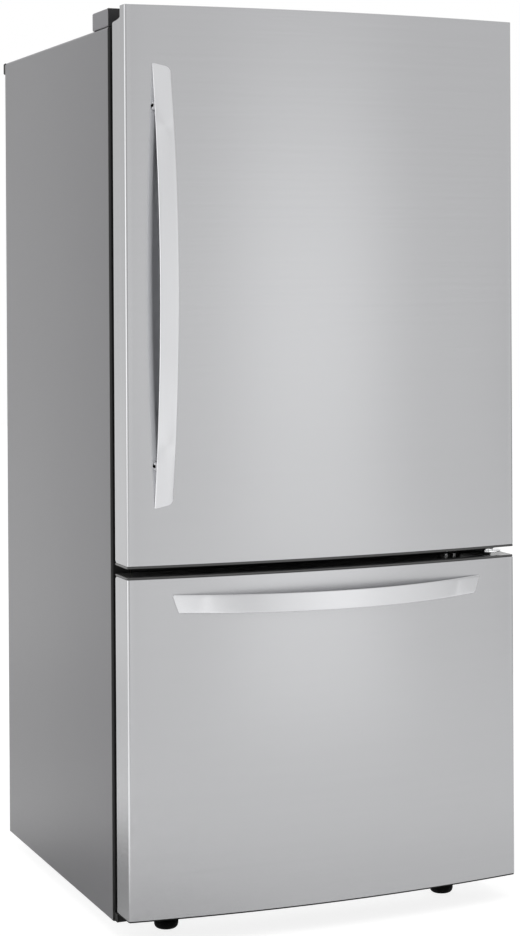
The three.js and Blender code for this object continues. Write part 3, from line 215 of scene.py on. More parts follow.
class Finish(Nodes):
    """One procedural material, built node by node round a Principled shader."""

    def __init__(self, name):
        self.material = bpy.data.materials.new(name)
        self.material.use_nodes = True
        super().__init__(self.material.node_tree)
        self.shader = self.tree.nodes["Principled BSDF"]

    def constant(self, **values):
        """Sets the shader's own sockets, so the export keeps them."""
        for key, value in values.items():
            self.shader.inputs[key.replace("_", " ")].default_value = value

    def texture(self, kind, scale, **values):
        """A texture in the object's own coordinates; scale is one number, or one for each axis."""
        place = self.node("ShaderNodeTexCoord")
        mapping = self.node("ShaderNodeMapping")
        mapping.inputs["Scale"].default_value = (scale,) * 3 if isinstance(scale, (int, float)) else scale
        self.link(place.outputs["Object"], mapping.inputs["Vector"])
        made = self.node(kind)
        for key, value in {"Scale": 1.0, **values}.items():
            made.inputs[key].default_value = value
        self.link(mapping.outputs["Vector"], made.inputs["Vector"])
        return made

    def noise(self, scale, detail, rough=0.5):
        return self.texture("ShaderNodeTexNoise", scale, Detail=detail, Roughness=rough).outputs["Fac"]

    def cells(self, scale):
        return self.texture("ShaderNodeTexVoronoi", scale)

    def tint(self, factor, dark, light):
        made = self.node("ShaderNodeMix", data_type="RGBA")
        made.inputs[MIX_DARK].default_value = (*dark, 1)
        made.inputs[MIX_LIGHT].default_value = (*light, 1)
        self.link(factor, made.inputs[MIX_FACTOR])
        return made.outputs[MIX_RESULT]

    def colour(self, factor, dark, light):
        self.link(self.tint(factor, dark, light), self.shader.inputs["Base Color"])

    def roughness(self, source):
        self.link(source, self.shader.inputs["Roughness"])

    def bump(self, height, strength, distance):
        made = self.node("ShaderNodeBump")
        made.inputs["Strength"].default_value = strength
        made.inputs["Distance"].default_value = distance
        self.link(height, made.inputs["Height"])
        self.link(made.outputs["Normal"], self.shader.inputs["Normal"])

    def add_glow(self, surface, level):
        """Shows a surface shader with a glow of the given level on top."""
        glow = self.node("ShaderNodeEmission")
        self.link(level, glow.inputs["Strength"])
        both = self.node("ShaderNodeAddShader")
        self.link(surface, both.inputs[0])
        self.link(glow.outputs[0], both.inputs[1])
        self.link(both.outputs[0], self.tree.nodes["Material Output"].inputs["Surface"])


# ---------------------------------------------------------------- materials

WHITE = (1.0, 1.0, 1.0)
COOL = (0.985, 0.99, 1.01)
CASE_TINT = (0.995, 0.985, 1.035)
NOISE_SPAN = (0.3, 0.7)  # nearly all values of a noise lie in this span


def shades(value, spread, warmth=WHITE):
    """A darker and a lighter colour round one linear grey."""
    dark = tuple(value * (1 - spread) * w for w in warmth)
    light = tuple(min(1.0, value * (1 + spread) * w) for w in warmth)
    return dark, light


def brushed_steel(name, grain, value, rough, spread, turn=0.25, draw=0.75):
    """Brushed stainless steel.

    grain gives the noise scale along x, y and z, small along the brushing;
    draw is how much further gloss spreads across the brushing than along it.
    """
    f = Finish(name)
    fine = f.noise(grain, detail=4, rough=0.6)
    broad = f.noise(tuple(s / 9 for s in grain), detail=2)
    both = f.weighed(fine, broad, 0.7)
    f.colour(f.ranged(both, (0, 1), NOISE_SPAN), *shades(value, spread, COOL))
    f.roughness(f.ranged(both, rough, (0.25, 0.75)))
    f.constant(Metallic=1.0, Anisotropic=draw, Anisotropic_Rotation=turn)
    tangent = f.node("ShaderNodeTangent", direction_type="RADIAL", axis="Z")
    f.link(tangent.outputs["Tangent"], f.shader.inputs["Tangent"])
    f.bump(both, strength=0.06, distance=0.0004)
    return f.material


def painted(name, value, warmth, rough, strength=0.12, spread=0.03, specular=0.4):
    """Powder-coated or pre-painted sheet with a fine orange-peel surface."""
    f = Finish(name)
    peel = f.noise(700, detail=2)
    cloud = f.noise(3.5, detail=3)
    f.colour(cloud, *shades(value, spread, warmth))
    f.roughness(f.ranged(peel, rough, NOISE_SPAN))
    f.bump(peel, strength, distance=0.0003)
    f.constant(Specular_IOR_Level=specular)
    return f.material


def moulded(name, value, warmth=WHITE, rough=(0.42, 0.56), strength=0.15, **constants):
    """Injection-moulded plastic with a fine spark-eroded texture and slight flow shading."""
    f = Finish(name)
    eroded = f.noise(1400, detail=3, rough=0.6)
    flow = f.noise((9, 9, 14), detail=2)
    f.colour(flow, *shades(value, 0.05, warmth))
    f.roughness(f.ranged(eroded, rough, NOISE_SPAN))
    f.bump(eroded, strength, distance=0.0002)
    f.constant(**constants)
    return f.material


def galvanised(name, value=0.52, cell=70, rough=(0.3, 0.5)):
    """Zinc-coated sheet: crystal spangle that changes in tone from cell to cell."""
    f = Finish(name)
    spangle = f.cells(cell)
    tone = f.node("ShaderNodeSeparateColor")
    f.link(spangle.outputs["Color"], tone.inputs["Color"])
    grain = f.noise(420, detail=3)
    mixed = f.weighed(tone.outputs[0], grain, 0.6)
    f.colour(mixed, *shades(value, 0.16, (0.98, 0.99, 1.0)))
    f.roughness(f.ranged(mixed, rough, (0.1, 0.9)))
    f.constant(Metallic=1.0)
    f.bump(grain, strength=0.08, distance=0.0002)
    return f.material


def bare_aluminium(name):
    """Mill-finish aluminium with rolling lines."""
    f = Finish(name)
    lines = f.noise((30, 30, 900), detail=3)
    f.colour(lines, *shades(0.68, 0.08, (1.0, 1.0, 1.01)))
    f.roughness(f.ranged(lines, (0.28, 0.42), NOISE_SPAN))
    f.constant(Metallic=1.0)
    f.bump(lines, strength=0.08, distance=0.0002)
    return f.material


def seal_rubber(name):
    """Flexible magnetic-seal vinyl with a dull bloom."""
    f = Finish(name)
    bloom = f.noise(60, detail=4)
    fine = f.noise(1500, detail=2)
    f.colour(bloom, *shades(0.008, 0.25))
    f.roughness(f.ranged(fine, (0.55, 0.75), NOISE_SPAN))
    f.bump(fine, strength=0.2, distance=0.0002)
    f.constant(Sheen_Weight=0.05, Specular_IOR_Level=0.2)
    return f.material


def liner_plastic(name):
    """Thermoformed white inner liner: satin, with a faint leathery grain."""
    f = Finish(name)
    grain = f.noise(900, detail=2)
    cloud = f.noise(5, detail=2)
    f.colour(cloud, *shades(0.80, 0.015, (0.985, 0.995, 1.0)))
    f.roughness(f.ranged(grain, (0.26, 0.36), NOISE_SPAN))
    f.bump(grain, strength=0.1, distance=0.0002)
    f.constant(Subsurface_Weight=0.04)
    return f.material


def clear_plastic(name, tint, rough):
    """Transparent polystyrene or glass with slight flow lines."""
    f = Finish(name)
    flow = f.noise((14, 14, 30), detail=2)
    f.colour(flow, tuple(0.97 * t for t in tint), tint)
    f.roughness(f.ranged(flow, rough, NOISE_SPAN))
    f.bump(flow, strength=0.05, distance=0.001)
    f.constant(Transmission_Weight=0.92, IOR=1.3)
    return f.material


def rigid_foam(name):
    """Blown polyurethane foam with open cells and darker knit lines."""
    f = Finish(name)
    cells = f.cells(260).outputs["Distance"]
    knit = f.noise(7, detail=3)
    f.colour(knit, (0.62, 0.5, 0.26), (0.78, 0.68, 0.42))
    f.roughness(f.ranged(knit, (0.8, 0.95)))
    f.bump(cells, strength=0.6, distance=0.001)
    return f.material


STEEL_SKIN = brushed_steel("steel_skin", (5, 5, 1100), 0.45, rough=(0.16, 0.2), spread=0.02, draw=0.95)
STEEL_UPRIGHT = brushed_steel(
    "steel_upright", (1100, 1100, 7), 0.66, rough=(0.3, 0.38), spread=0.015, turn=0.0
)
STEEL_LEVEL = brushed_steel("steel_level", (7, 1100, 1100), 0.66, rough=(0.3, 0.38), spread=0.015)
CASE_PAINT = painted("case_paint", 0.234, CASE_TINT, rough=(0.3, 0.38))
BLACK_STEEL = painted(
    "black_steel", 0.007, WHITE, rough=(0.36, 0.46), strength=0.08, spread=0.15, specular=0.2
)
ZINC_SLIDE = galvanised("zinc_slide", 0.6, cell=16, rough=(0.24, 0.36))
ZINC_BRIGHT = galvanised("zinc_bright", 0.86, cell=60, rough=(0.1, 0.2))
CAP_PLASTIC = moulded("cap_plastic", 0.085, rough=(0.16, 0.24), strength=0.05)
# painted shade: black for the dark line of shade along the drawer front's lower edge
HEM_PAINTED_SHADE = moulded("hem_painted_shade", 0.012, Specular_IOR_Level=0.1)
FOOT_PLASTIC = moulded("foot_plastic", 0.004, rough=(0.6, 0.7), Specular_IOR_Level=0.06)
# painted shade: black without any gloss, so the set screws read as the shade inside their sockets
SOCKET_PAINTED_SHADE = moulded("socket_painted_shade", 0.003, rough=(0.9, 1.0), Specular_IOR_Level=0.0)
COVER_PLASTIC = moulded("cover_plastic", 0.29, CASE_TINT)
# painted shade: the cover's front face is made near black for the shade the door's raised top casts on it
COVER_PAINTED_SHADE = moulded("cover_painted_shade", 0.035, CASE_TINT, Specular_IOR_Level=0.2)
SEAL_RUBBER = seal_rubber("seal_rubber")

MATERIAL_OF_SLOT = {
    "case_paint": CASE_PAINT,
    "stainless": STEEL_SKIN,
    "galvanised": galvanised("galvanised"),
    "black_plastic": moulded("black_plastic", 0.007, Specular_IOR_Level=0.22),
    "black_steel": BLACK_STEEL,
    "grey_plastic": moulded("grey_plastic", 0.11),
    "door_seal": SEAL_RUBBER,
    "liner_white": liner_plastic("liner_white"),
    "clear_plastic": clear_plastic("clear_plastic", tint=(0.93, 0.965, 0.985), rough=(0.04, 0.12)),
    "shelf_glass": clear_plastic("shelf_glass", tint=(0.9, 0.965, 0.945), rough=(0.01, 0.03)),
    "foam": rigid_foam("foam"),
    "bare_aluminium": bare_aluminium("bare_aluminium"),
}
MATERIAL_OF_NODE = {
    "door_handle": STEEL_UPRIGHT,
    "drawer_handle": STEEL_LEVEL,
    "top_cover": COVER_PLASTIC,
    "door_top_cap": CAP_PLASTIC,
    "door_bottom_cap": CAP_PLASTIC,
    "drawer_top_cap": CAP_PLASTIC,
    "slide_outer_left": ZINC_SLIDE,
    "slide_outer_right": ZINC_SLIDE,
    "slide_middle_left": ZINC_SLIDE,
    "slide_middle_right": ZINC_SLIDE,
}

for part in frame["record"]["subparts"]:
    node = NODES[part["node"]]
    node.data.materials.clear()
    node.data.materials.append(MATERIAL_OF_NODE.get(part["node"], MATERIAL_OF_SLOT[part["material_slot"]]))


def dressed(name, shells, body, material, slot, *nodes, smooth=40):
    """A finished piece on a body; it stands for the CAD nodes given, if any."""
    obj = piece(name, shells, body, smooth)
    obj.data.materials.append(material)
    if nodes:
        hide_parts(*nodes)


# ---------------------------------------------------------------- cabinet sheet

CASE_DEPTH, CASE_LOW, CASE_TOP, CASE_CORNER = 736.0, 30.0, 1759.0, 6.0
FLANGE, REAR_FLANGE = 38.0, 12.0  # widths of the flanges in front and behind
FOLD, REAR_FOLD = 5.0, 1.6  # outer radii of the folds in front and behind
FLANGE_EASE, FOLD_BEVEL = 0.6, 1.2  # bevels on the front flange's edge and inside the front fold
PAINT_EDGE = 6.5  # the grey paint stops here, and the front frame, painted black as shade, begins
PAINT_GAP = 0.02
LOWER_WIDTH, LOWER_GAP = 12.5, 0.6  # the flange under each side, and how far it stays inside the sheet


def case_path():
    """Stations along the wrapped sheet: (point on the outline, direction, corner centre or None)."""
    stations = [((-HALF, CASE_LOW), (-1, 0), None)]
    for side, start in ((-1, 180), (1, 90)):
        centre = (side * (HALF - CASE_CORNER), CASE_TOP - CASE_CORNER)
        for x, z in arc(centre, CASE_CORNER, start, start - 90, 6):
            away = ((x - centre[0]) / CASE_CORNER, (z - centre[1]) / CASE_CORNER)
            stations.append(((x, z), away, centre))
    stations.append(((HALF, CASE_LOW), (1, 0), None))
    return stations


def inside_case(station, depth):
    """The point at a depth inside the outline; past a corner's centre the lines meet in a mitre."""
    (x, z), away, centre = station
    if centre and depth > CASE_CORNER:
        side = 1 if centre[0] > 0 else -1
        return side * (HALF - depth), CASE_TOP - depth
    return x - away[0] * depth, z - away[1] * depth


def wrapped_case(section):
    """A shell drawn round the cabinet's sides and top; section is (depth inside the outline, y)."""
    rings = []
    for station in case_path():
        rings.append([(x, y, z) for (x, z), y in ((inside_case(station, d), y) for d, y in section)])
    return lofted(rings)


def case_section():
    """Section of the wrapped sheet: side, rear fold and rear flange, one sheet thick."""
    turn = CASE_DEPTH - REAR_FOLD
    inner = CASE_DEPTH - SHEET
    outline = [(0, PAINT_EDGE)]
    outline += [(REAR_FOLD - REAR_FOLD * math.cos(a), turn + REAR_FOLD * math.sin(a)) for a in quarter(4)]
    outline += [(REAR_FLANGE, CASE_DEPTH), (REAR_FLANGE, inner), (REAR_FOLD + FOLD_EASE, inner)]
    return outline + [(SHEET, turn - FOLD_EASE), (SHEET, PAINT_EDGE)]


def shade_painted_frame_section():
    """Section of the front frame, black as painted shade: the sheet's front fold and the flange that the seal
    closes on.
    """
    rear = PAINT_EDGE - PAINT_GAP
    fold = [(FOLD - FOLD * math.sin(a), FOLD - FOLD * math.cos(a)) for a in quarter(6, True)]
    flange = [(FLANGE - FLANGE_EASE, 0), (FLANGE, FLANGE_EASE), (FLANGE, SHEET), (FOLD, SHEET)]
    inner = [(SHEET + FOLD_BEVEL, SHEET + FOLD_BEVEL), (SHEET, FOLD)]
    return [(0, rear)] + fold + flange + inner + [(SHEET, rear)]


case_shells = [wrapped_case(case_section())]
for side in (-1, 1):
    across = sorted((side * (HALF - LOWER_GAP), side * (HALF - LOWER_WIDTH)))
    case_shells.append(block(across, (LOWER_GAP, CASE_DEPTH - LOWER_GAP), (CASE_LOW, CASE_LOW + SHEET)))
dressed("cabinet_shell_folded", case_shells, "cabinet", CASE_PAINT, "case_paint", "cabinet_shell", smooth=35)
# painted shade: the front fold and flange are drawn black for the shade in the gap between the door and the
# cabinet
shade_painted_frame_shells = [wrapped_case(shade_painted_frame_section())]
dressed("cabinet_front_frame_painted_shade", shade_painted_frame_shells, "cabinet", BLACK_STEEL, "black_steel", smooth=35)

# ---------------------------------------------------------------- hinge cover

COVER_FRONT, COVER_LOW, COVER_HIGH, COVER_HALF = 3.0, 1759.3, 1793.6, 415.6
MOUTH_LEFT, MOUTH_RIGHT, MOUTH_TOP = 353.0, 399.0, 1777.0  # the cover's opening for the top hinge's arm
FACE = COVER_FRONT - 1.2  # front of the strip that squares off the cover's rounded front edges
FACE_SECTION = ((COVER_FRONT + 6.0, 0.4), (FACE + 0.8, 0.0), (FACE + 0.25, 0.25), (FACE, 0.8))


def face_strip(x, z):
    """A strip along the cover's front; its section is (y, how far the edges are drawn in)."""
    rings = []
    for y, eased in FACE_SECTION:
        rings.append([(x[i] + (1 - 2 * i) * eased, y, z[j] + (1 - 2 * j) * eased) for i, j in SQUARE])
    return lofted(rings)


# painted shade: these strips darken the cover's front, which lies in the door's shade
painted_shade_strips = [
    face_strip((-COVER_HALF, MOUTH_LEFT), (COVER_LOW, COVER_HIGH)),
    face_strip((MOUTH_LEFT, MOUTH_RIGHT), (MOUTH_TOP, COVER_HIGH)),
    face_strip((MOUTH_RIGHT, COVER_HALF), (COVER_LOW, COVER_HIGH)),
]
dressed("top_cover_painted_shade", painted_shade_strips, "cabinet", COVER_PAINTED_SHADE, "black_plastic")

# ---------------------------------------------------------------- steel fronts

CORNER = 6.0  # radius of the fronts' upright corners
FRONT_STEPS, CORNER_STEPS = 96, 10
RETURN, RETURN_BEND, REAR_RADIUS = 10.5, 4.0, 1.5  # the flange that a side folds back into
SIDE_ROUND, SIDE_ROUND_END = 9.0, 1.2  # radius of the sides' rear corners, and where it stops short
STEP_FRONT, STEP_BACK = 67.0, 29.0  # the door's sides step down in front and curve low to the back
STEP_RISE, STEP_REAR, STEP_DROP = 1769.0, 1763.5, 3.0
STEP_PULL, STEP_LIFT = 10.0, 1.0  # how far the curve's middle point lies from its front and above its end
STEP_TURN = 0.05  # the step falls over this depth
SIDE_STOP = 78.0
POCKET_LEFT, POCKET_FRONT, POCKET_HIGH = 350.0, 85.0, 1764.0  # the top's low part over the hinge
POCKET_TURN = 0.1  # the pocket's front rises over this depth
SKIN_GAP = 0.01  # between a rolled edge's end and the sheet's inner face
HEM = 2.4  # height of the black strip, painted shade, that closes the drawer front's lower edge
HEM_INSET, HEM_REAR, HEM_OVERLAP = 0.7, 1.2, 0.2
CAP_TOP, CAP_GAP, CAP_INSET, CAP_RADIUS = 705.0, 0.3, 0.4, 0.8
PLUG_INSET, PLUG_REAR, PLUG_DEPTH, PLUG_OVERLAP = 2.6, 2.0, 11.5, 0.6


def bow(x):
    """How far the door's front lies in front of the cabinet at x."""
    return DOOR_EDGE + DOOR_BOW * (1 - (x / HALF) ** 2)


def front_curve(inset=0.0):
    """Plan of the bowed front from its left corner's end to its right corner's end, as (x, y)."""
    half = HALF - inset
    turn = half - CORNER
    at = -bow(turn) + inset
    crown = at - 2 * DOOR_BOW * turn**2 / HALF**2
    left = quadratic((-half, at + CORNER), (-half, at), (-turn, at), CORNER_STEPS)
    front = quadratic((-turn, at), (0, crown), (turn, at), FRONT_STEPS)
    right = [(-x, y) for x, y in reversed(left)]
    return left + front[1:-1] + right


def closed_plan(inset, rear):
    """The front's plan, drawn in by inset and closed straight across at the rear."""
    return [(-HALF + inset, rear)] + front_curve(inset) + [(HALF - inset, rear)]


def wrapped_plan():
    """Plan of the folded sheet: left return, rear corner, side, bowed front, and the right side alike."""
    rear = -DOOR_BACK
    hem = [(-HALF + RETURN, rear), (-HALF + RETURN_BEND, rear)]
    hem += arc((-HALF + REAR_RADIUS, rear - REAR_RADIUS), REAR_RADIUS, 90, 180, 5)
    stops = [rear - SIDE_ROUND * (1 - math.cos(a)) for a in quarter(6)[2:]]
    stops += [-STEP_BACK - (STEP_FRONT - STEP_BACK) * i / 10 for i in range(1, 10)]
    stops += [-STEP_FRONT + STEP_TURN, -STEP_FRONT, -SIDE_STOP, -POCKET_FRONT + POCKET_TURN, -POCKET_FRONT]
    left = hem + [(-HALF, y) for y in stops]
    return left + front_curve() + [(-x, y) for x, y in reversed(left)]


def inward(points):
    """Unit normals that point into the wrapped sheet, for an open line of plan points."""
    normals = []
    for i in range(len(points)):
        before, after = points[max(i - 1, 0)], points[min(i + 1, len(points) - 1)]
        across, along = after[0] - before[0], after[1] - before[1]
        length = math.hypot(across, along)
        normals.append((-along / length, across / length))
    return normals


def step_height(y):
    """Top of the door's sides at depth y: full height in front, then the low curve of the step."""
    if y < -STEP_FRONT + STEP_TURN / 2:
        return DOOR_HIGH
    if y < -STEP_BACK:
        # a quadratic curve; its parameter t follows from the depth
        start, pull, end = -STEP_FRONT, -STEP_FRONT + STEP_PULL, -STEP_BACK
        square, linear = start - 2 * pull + end, 2 * (pull - start)
        t = (-linear + math.sqrt(max(0.0, linear * linear - 4 * square * (start - y)))) / (2 * square)
        return (1 - t) ** 2 * STEP_RISE + 2 * t * (1 - t) * (STEP_REAR + STEP_LIFT) + t * t * STEP_REAR
    return STEP_REAR - STEP_DROP * ((y + STEP_BACK) / (STEP_BACK - DOOR_BACK)) ** 2


def door_height(x, y):
    """Top of the door's sheet, with the pocket over the hinge on its right."""
    top = step_height(y)
    in_pocket = x > POCKET_LEFT and y > -POCKET_FRONT + POCKET_TURN / 2
    return min(top, POCKET_HIGH) if in_pocket else top


def rounded_rear(y):
    """How far a rounded rear corner of the side draws in at depth y."""
    into = SIDE_ROUND + DOOR_BACK + y
    if into <= 0:
        return 0.0
    reach = min(into, SIDE_ROUND - SIDE_ROUND_END)
    return SIDE_ROUND - math.sqrt(SIDE_ROUND**2 - reach**2)


def wrapped_front(low_edge, high_edge, low_radius, high_radius):
    """The folded sheet between two edges, given as heights over (x, y), rolled inwards by the radii."""
    plan = wrapped_plan()
    face = SHEET + FOLD_EASE
    rings = []
    for (x, y), (nx, ny) in zip(plan, inward(plan)):
        low, high = low_edge(x, y), high_edge(x, y)
        section = rolled_edge(low, low_radius, -1, quarter(5, True))
        section += rolled_edge(high, high_radius, 1, quarter(5))
        section += [(high_radius + SHEET, high - SKIN_GAP), (high_radius + SHEET, high - SHEET)]
        section += [(face, high - SHEET - high_radius), (face, low + SHEET + low_radius)]
        section += [(low_radius + SHEET, low + SHEET), (low_radius + SHEET, low + SKIN_GAP)]
        rings.append([(x + nx * depth, y + ny * depth, z) for depth, z in section])
    return lofted(rings)


def cap_plate(low, high, inset, radius):
    """A moulded end cap's visible flange: the front's plan, rounded along its outer edges."""
    rings = []
    levels = rolled_edge(low, radius, -1, quarter(4, True)) + rolled_edge(high, radius, 1, quarter(4))
    for eased, z in levels:
        rings.append([(x, y, z) for x, y in closed_plan(inset + eased, -DOOR_BACK - eased)])
    return lofted(rings)


door_sheet = wrapped_front(
    lambda x, y: DOOR_LOW + rounded_rear(y), door_height, low_radius=1.4, high_radius=0.5
)
drawer_sheet = wrapped_front(
    lambda x, y: DRAWER_LOW + HEM, lambda x, y: DRAWER_HIGH - rounded_rear(y), low_radius=0.8, high_radius=1.4
)
dressed("door_skin_folded", [door_sheet], "door", STEEL_SKIN, "stainless", "door_skin", smooth=30)
dressed("drawer_skin_folded", [drawer_sheet], "drawer", STEEL_SKIN, "stainless", "drawer_skin", smooth=30)

hem_corners = [(side * (HALF - HEM_INSET), -DOOR_BACK - HEM_REAR) for side in (1, -1)]
underside = front_curve(HEM_INSET) + hem_corners
hem_plate = upright_plate(underside, (DRAWER_LOW, DRAWER_LOW + HEM + HEM_OVERLAP))
# painted shade: the black strip stands for the shade along the drawer front's lower edge
dressed("drawer_lower_hem_painted_shade", [hem_plate], "drawer", HEM_PAINTED_SHADE, "black_plastic")

plug = upright_plate(
    closed_plan(PLUG_INSET, -DOOR_BACK - PLUG_REAR), (DRAWER_HIGH - PLUG_DEPTH, DRAWER_HIGH + PLUG_OVERLAP)
)
cap_shells = [cap_plate(DRAWER_HIGH + CAP_GAP, CAP_TOP, CAP_INSET, CAP_RADIUS), plug]
dressed("drawer_cap_moulded", cap_shells, "drawer", CAP_PLASTIC, "grey_plastic", "drawer_top_cap")

# ---------------------------------------------------------------- handles

STRIP_WIDTH, STRIP_DEPTH = 36.0, 11.0
STRIP_TIP, STRIP_GAP = 2.0, 0.3  # height of the front at the strip's tips, and the air under them
STRIP_EDGE, STRIP_SIDE = 1.4, 2.2  # radius of the front edges, and where the rear bevels begin
STRIP_STEPS, FACE_PARTS = 64, 14
REAR_BEVEL = 0.95  # run of the rear bevels for each millimetre of their height
SLANT_POWER, ROUND_POWER, ROUND_SPREAD = 1.2, 2.4, 1.4  # how an end's slant and its round corner grow
TOE_SHARE, TOE_CUT = 0.06, 1.2  # the small round on an end's other corner: share of the width, and depth
POST_SHARE = 0.81  # the posts stand at this share of half the strip's length
POST_LONG, POST_HALF, POST_ROUND = 8.0, 17.4, 3.0  # half sizes along and across the strip, corner radius
POST_GAP, POST_FLARE, FLARE_HEIGHT = 0.3, 0.6, 1.0
SCREW_HEIGHT, SOCKET_SIDES = 4.6, 16
GRIP_X, GRIP_Z = -345.0, 1257.25  # middle of the door's handle
GRIP_SLOPE = math.atan(2 * DOOR_BOW * GRIP_X / HALF**2)  # the door's front is turned this much there
DRAWER_GRIP_Z = 652.0

# surface gives the front's height under a handle, and place brings a handle's point to the cabinet's axes
Handle = namedtuple("Handle", "half slant reach round_end surface place screw_side post_upper screw_proud")


def flat(u):
    """The door's front under its handle, which runs straight up."""
    return 0.0


def bowed(u):
    """The drawer's front under its handle, which runs along the bow."""
    return DOOR_BOW * (1 - (u / HALF) ** 2)


def upright(u, v, out):
    """Strip coordinates to the cabinet's, for the door handle: along z, long edge to the left."""
    c, s = math.cos(GRIP_SLOPE), math.sin(GRIP_SLOPE)
    return (GRIP_X - c * v + s * out, -bow(GRIP_X) - s * v - c * out, GRIP_Z + u)


def level(u, v, out):
    """Strip coordinates to the cabinet's, for the drawer handle: along x, long edge on top."""
    return (u, -DOOR_EDGE - out, DRAWER_GRIP_Z + v)


def strip_section(depth):
    """Section of a handle strip, as (across, below the front): rounded front edges, bevelled rear."""
    wide = STRIP_WIDTH / 2
    edge, side = min(STRIP_EDGE, depth / 2), min(STRIP_SIDE, depth / 2)
    bevel = (depth - side) * REAR_BEVEL

    def on_bevel(across, down):
        return wide - bevel * across, side + (depth - side) * down

    front = [(-wide + edge - edge * math.sin(a), edge - edge * math.cos(a)) for a in quarter(4, True)]
    front += [((wide - edge) * (2 * i / FACE_PARTS - 1), 0) for i in range(1, FACE_PARTS)]
    front += [(wide - edge + edge * math.sin(a), edge - edge * math.cos(a)) for a in quarter(4)]
    right = quadratic((wide, side), (wide - 0.1, side + 0.8), on_bevel(0.3, 0.36), 3)
    right += quadratic(on_bevel(0.86, 0.92), on_bevel(1, 1), (wide - bevel - 2.5, depth), 3)
    return front + right + [(-u, v) for u, v in reversed(right)]


def strip_rise(handle, t):
    """Height of the strip's front over the surface at a share t of half its length."""
    return STRIP_TIP + (handle.reach - STRIP_TIP) * (1 - t * t)


def end_cut(handle, v):
    """How far an end is drawn in at v across it: a convex slant, a round corner and a small toe."""
    share = (STRIP_WIDTH / 2 - v) / STRIP_WIDTH
    start = 1 - ROUND_SPREAD * handle.round_end / STRIP_WIDTH
    corner = handle.round_end * max(0.0, (share - start) / (1 - start)) ** ROUND_POWER
    toe = TOE_CUT * max(0.0, (TOE_SHARE - share) / TOE_SHARE) ** 2
    return (handle.slant - handle.round_end) * share**SLANT_POWER + corner + toe


def handle_strip(handle):
    """A bowed strip that stands off from a surface, its tips resting on it."""
    rings = []
    for i in range(STRIP_STEPS + 1):
        t = 2 * i / STRIP_STEPS - 1
        rise = strip_rise(handle, t)
        ring = []
        for v, below in strip_section(min(STRIP_DEPTH, rise - STRIP_GAP)):
            u = t * (handle.half - end_cut(handle, v))
            ring.append(handle.place(u, v, handle.surface(u) + rise - below))
        rings.append(ring)
    return lofted(rings)


def handle_post(handle, u):
    """A post under the strip, with rounded corners and a small flare where it meets the door."""
    base = handle.surface(abs(u) - POST_LONG) + POST_GAP
    head = handle.surface(u) + strip_rise(handle, u / handle.half) - STRIP_DEPTH / 2
    long, wide, upper = POST_LONG - POST_ROUND, POST_HALF - POST_ROUND, handle.post_upper - POST_ROUND
    corners = ((long, upper, 0), (-long, upper, 90), (-long, -wide, 180), (long, -wide, 270))
    rings = []
    for height, flare in ((base, POST_FLARE), (base + FLARE_HEIGHT, 0), (head, 0)):
        outline = []
        for along, across, start in corners:
            outline += arc((u + along, across), POST_ROUND + flare, start, start + 90, 5)
        rings.append([handle.place(a, b, height) for a, b in outline])
    return lofted(rings)


def set_screw(handle, u):
    """The plug in a set screw's socket, low and domed, on the post's flank; black without gloss as painted
    shade of the socket's hollow.
    """
    base, proud = handle.surface(u) + SCREW_HEIGHT, handle.screw_proud
    rings = []
    for radius, out in ((3.2, -0.3), (3.2, 0.55 * proud), (2.5, 0.86 * proud), (1.2, proud)):
        v = handle.screw_side * (POST_HALF + out)
        around = [(u + radius * math.cos(a), base + radius * math.sin(a)) for a in full_turn(SOCKET_SIDES)]
        rings.append([handle.place(along, v, up) for along, up in around])
    return lofted(rings)


DOOR_HANDLE = Handle(
    half=422.25, slant=15.0, reach=61.0, round_end=7.0, surface=flat, place=upright,
    screw_side=1, post_upper=POST_HALF, screw_proud=2.2,
)
DRAWER_HANDLE = Handle(
    half=329.0, slant=14.0, reach=62.0, round_end=2.5, surface=bowed, place=level,
    screw_side=-1, post_upper=9.0, screw_proud=0.4,
)
for name, handle, body, material in (
    ("door_handle", DOOR_HANDLE, "door", STEEL_UPRIGHT),
    ("drawer_handle", DRAWER_HANDLE, "drawer", STEEL_LEVEL),
):
    posts = [-POST_SHARE * handle.half, POST_SHARE * handle.half]
    shells = [handle_strip(handle)] + [handle_post(handle, u) for u in posts]
    dressed(name + "_bowed", shells, body, material, "stainless", name, smooth=35)
    sockets = [set_screw(handle, u) for u in posts]
    dressed(name + "_set_screws", sockets, body, SOCKET_PAINTED_SHADE, "black_steel")

# ---------------------------------------------------------------- middle hinge

SCREW_RADIUS, SCREW_RISE, SCREW_SIDES = 4.4, 2.4, 24
SCREW_DOME = ((1, 0), (1, 0.35), (0.93, 0.62), (0.72, 0.86), (0.42, 1.0))  # shares of radius and rise
RECESS_WIDE, RECESS_NARROW, RECESS_FLOOR = 0.42, 0.16, 0.55  # arms and corners of the cross, its depth
RECESS_ARM = 0.3  # the arms lie where the sine of twice the angle is smaller than this
HINGE_X, HINGE_Y = 376.0, -56.0
HINGE_WALL = ((292.0, 400.0), (-3.3, -0.3), (691.0, 719.0))
WALL_SCREWS = [(x, HINGE_WALL[1][0], 707.5) for x in (307.0, 326.0)]
ARM_LOW, ARM_HIGH, ARM_EASE = 709.0, 713.0, 0.5
ARM_LEFT, ARM_RIGHT, ARM_NOSE, ARM_WALL = 40.0, 30.0, 15.0, -0.4  # reach to both sides, nose radius, root
ARM_TAPER, ARM_SHOULDER, ARM_WAIST = 6.0, -14.0, (18.0, -26.0)  # how the outline narrows to the nose
NOSE_FLAT, NOSE_CORNER, NOSE_SIDE = 10.0, 13.0, 8.0  # the nose's wider right half, from the pin
COLLAR, PIN, PIN_TOP = 11.0, 6.0, 736.0  # radii of the collar and the pin, and the pin's upper end
COLLAR_RISE, COLLAR_EASE, PIN_EASE = 2.5, 0.4, 1.2
GUSSET_SECTION = ((-1.3, 710.0), (-14.3, 710.0), (-1.3, 696.0))
GUSSET_X = (HINGE_X - 39.5, HINGE_X - 36.5)


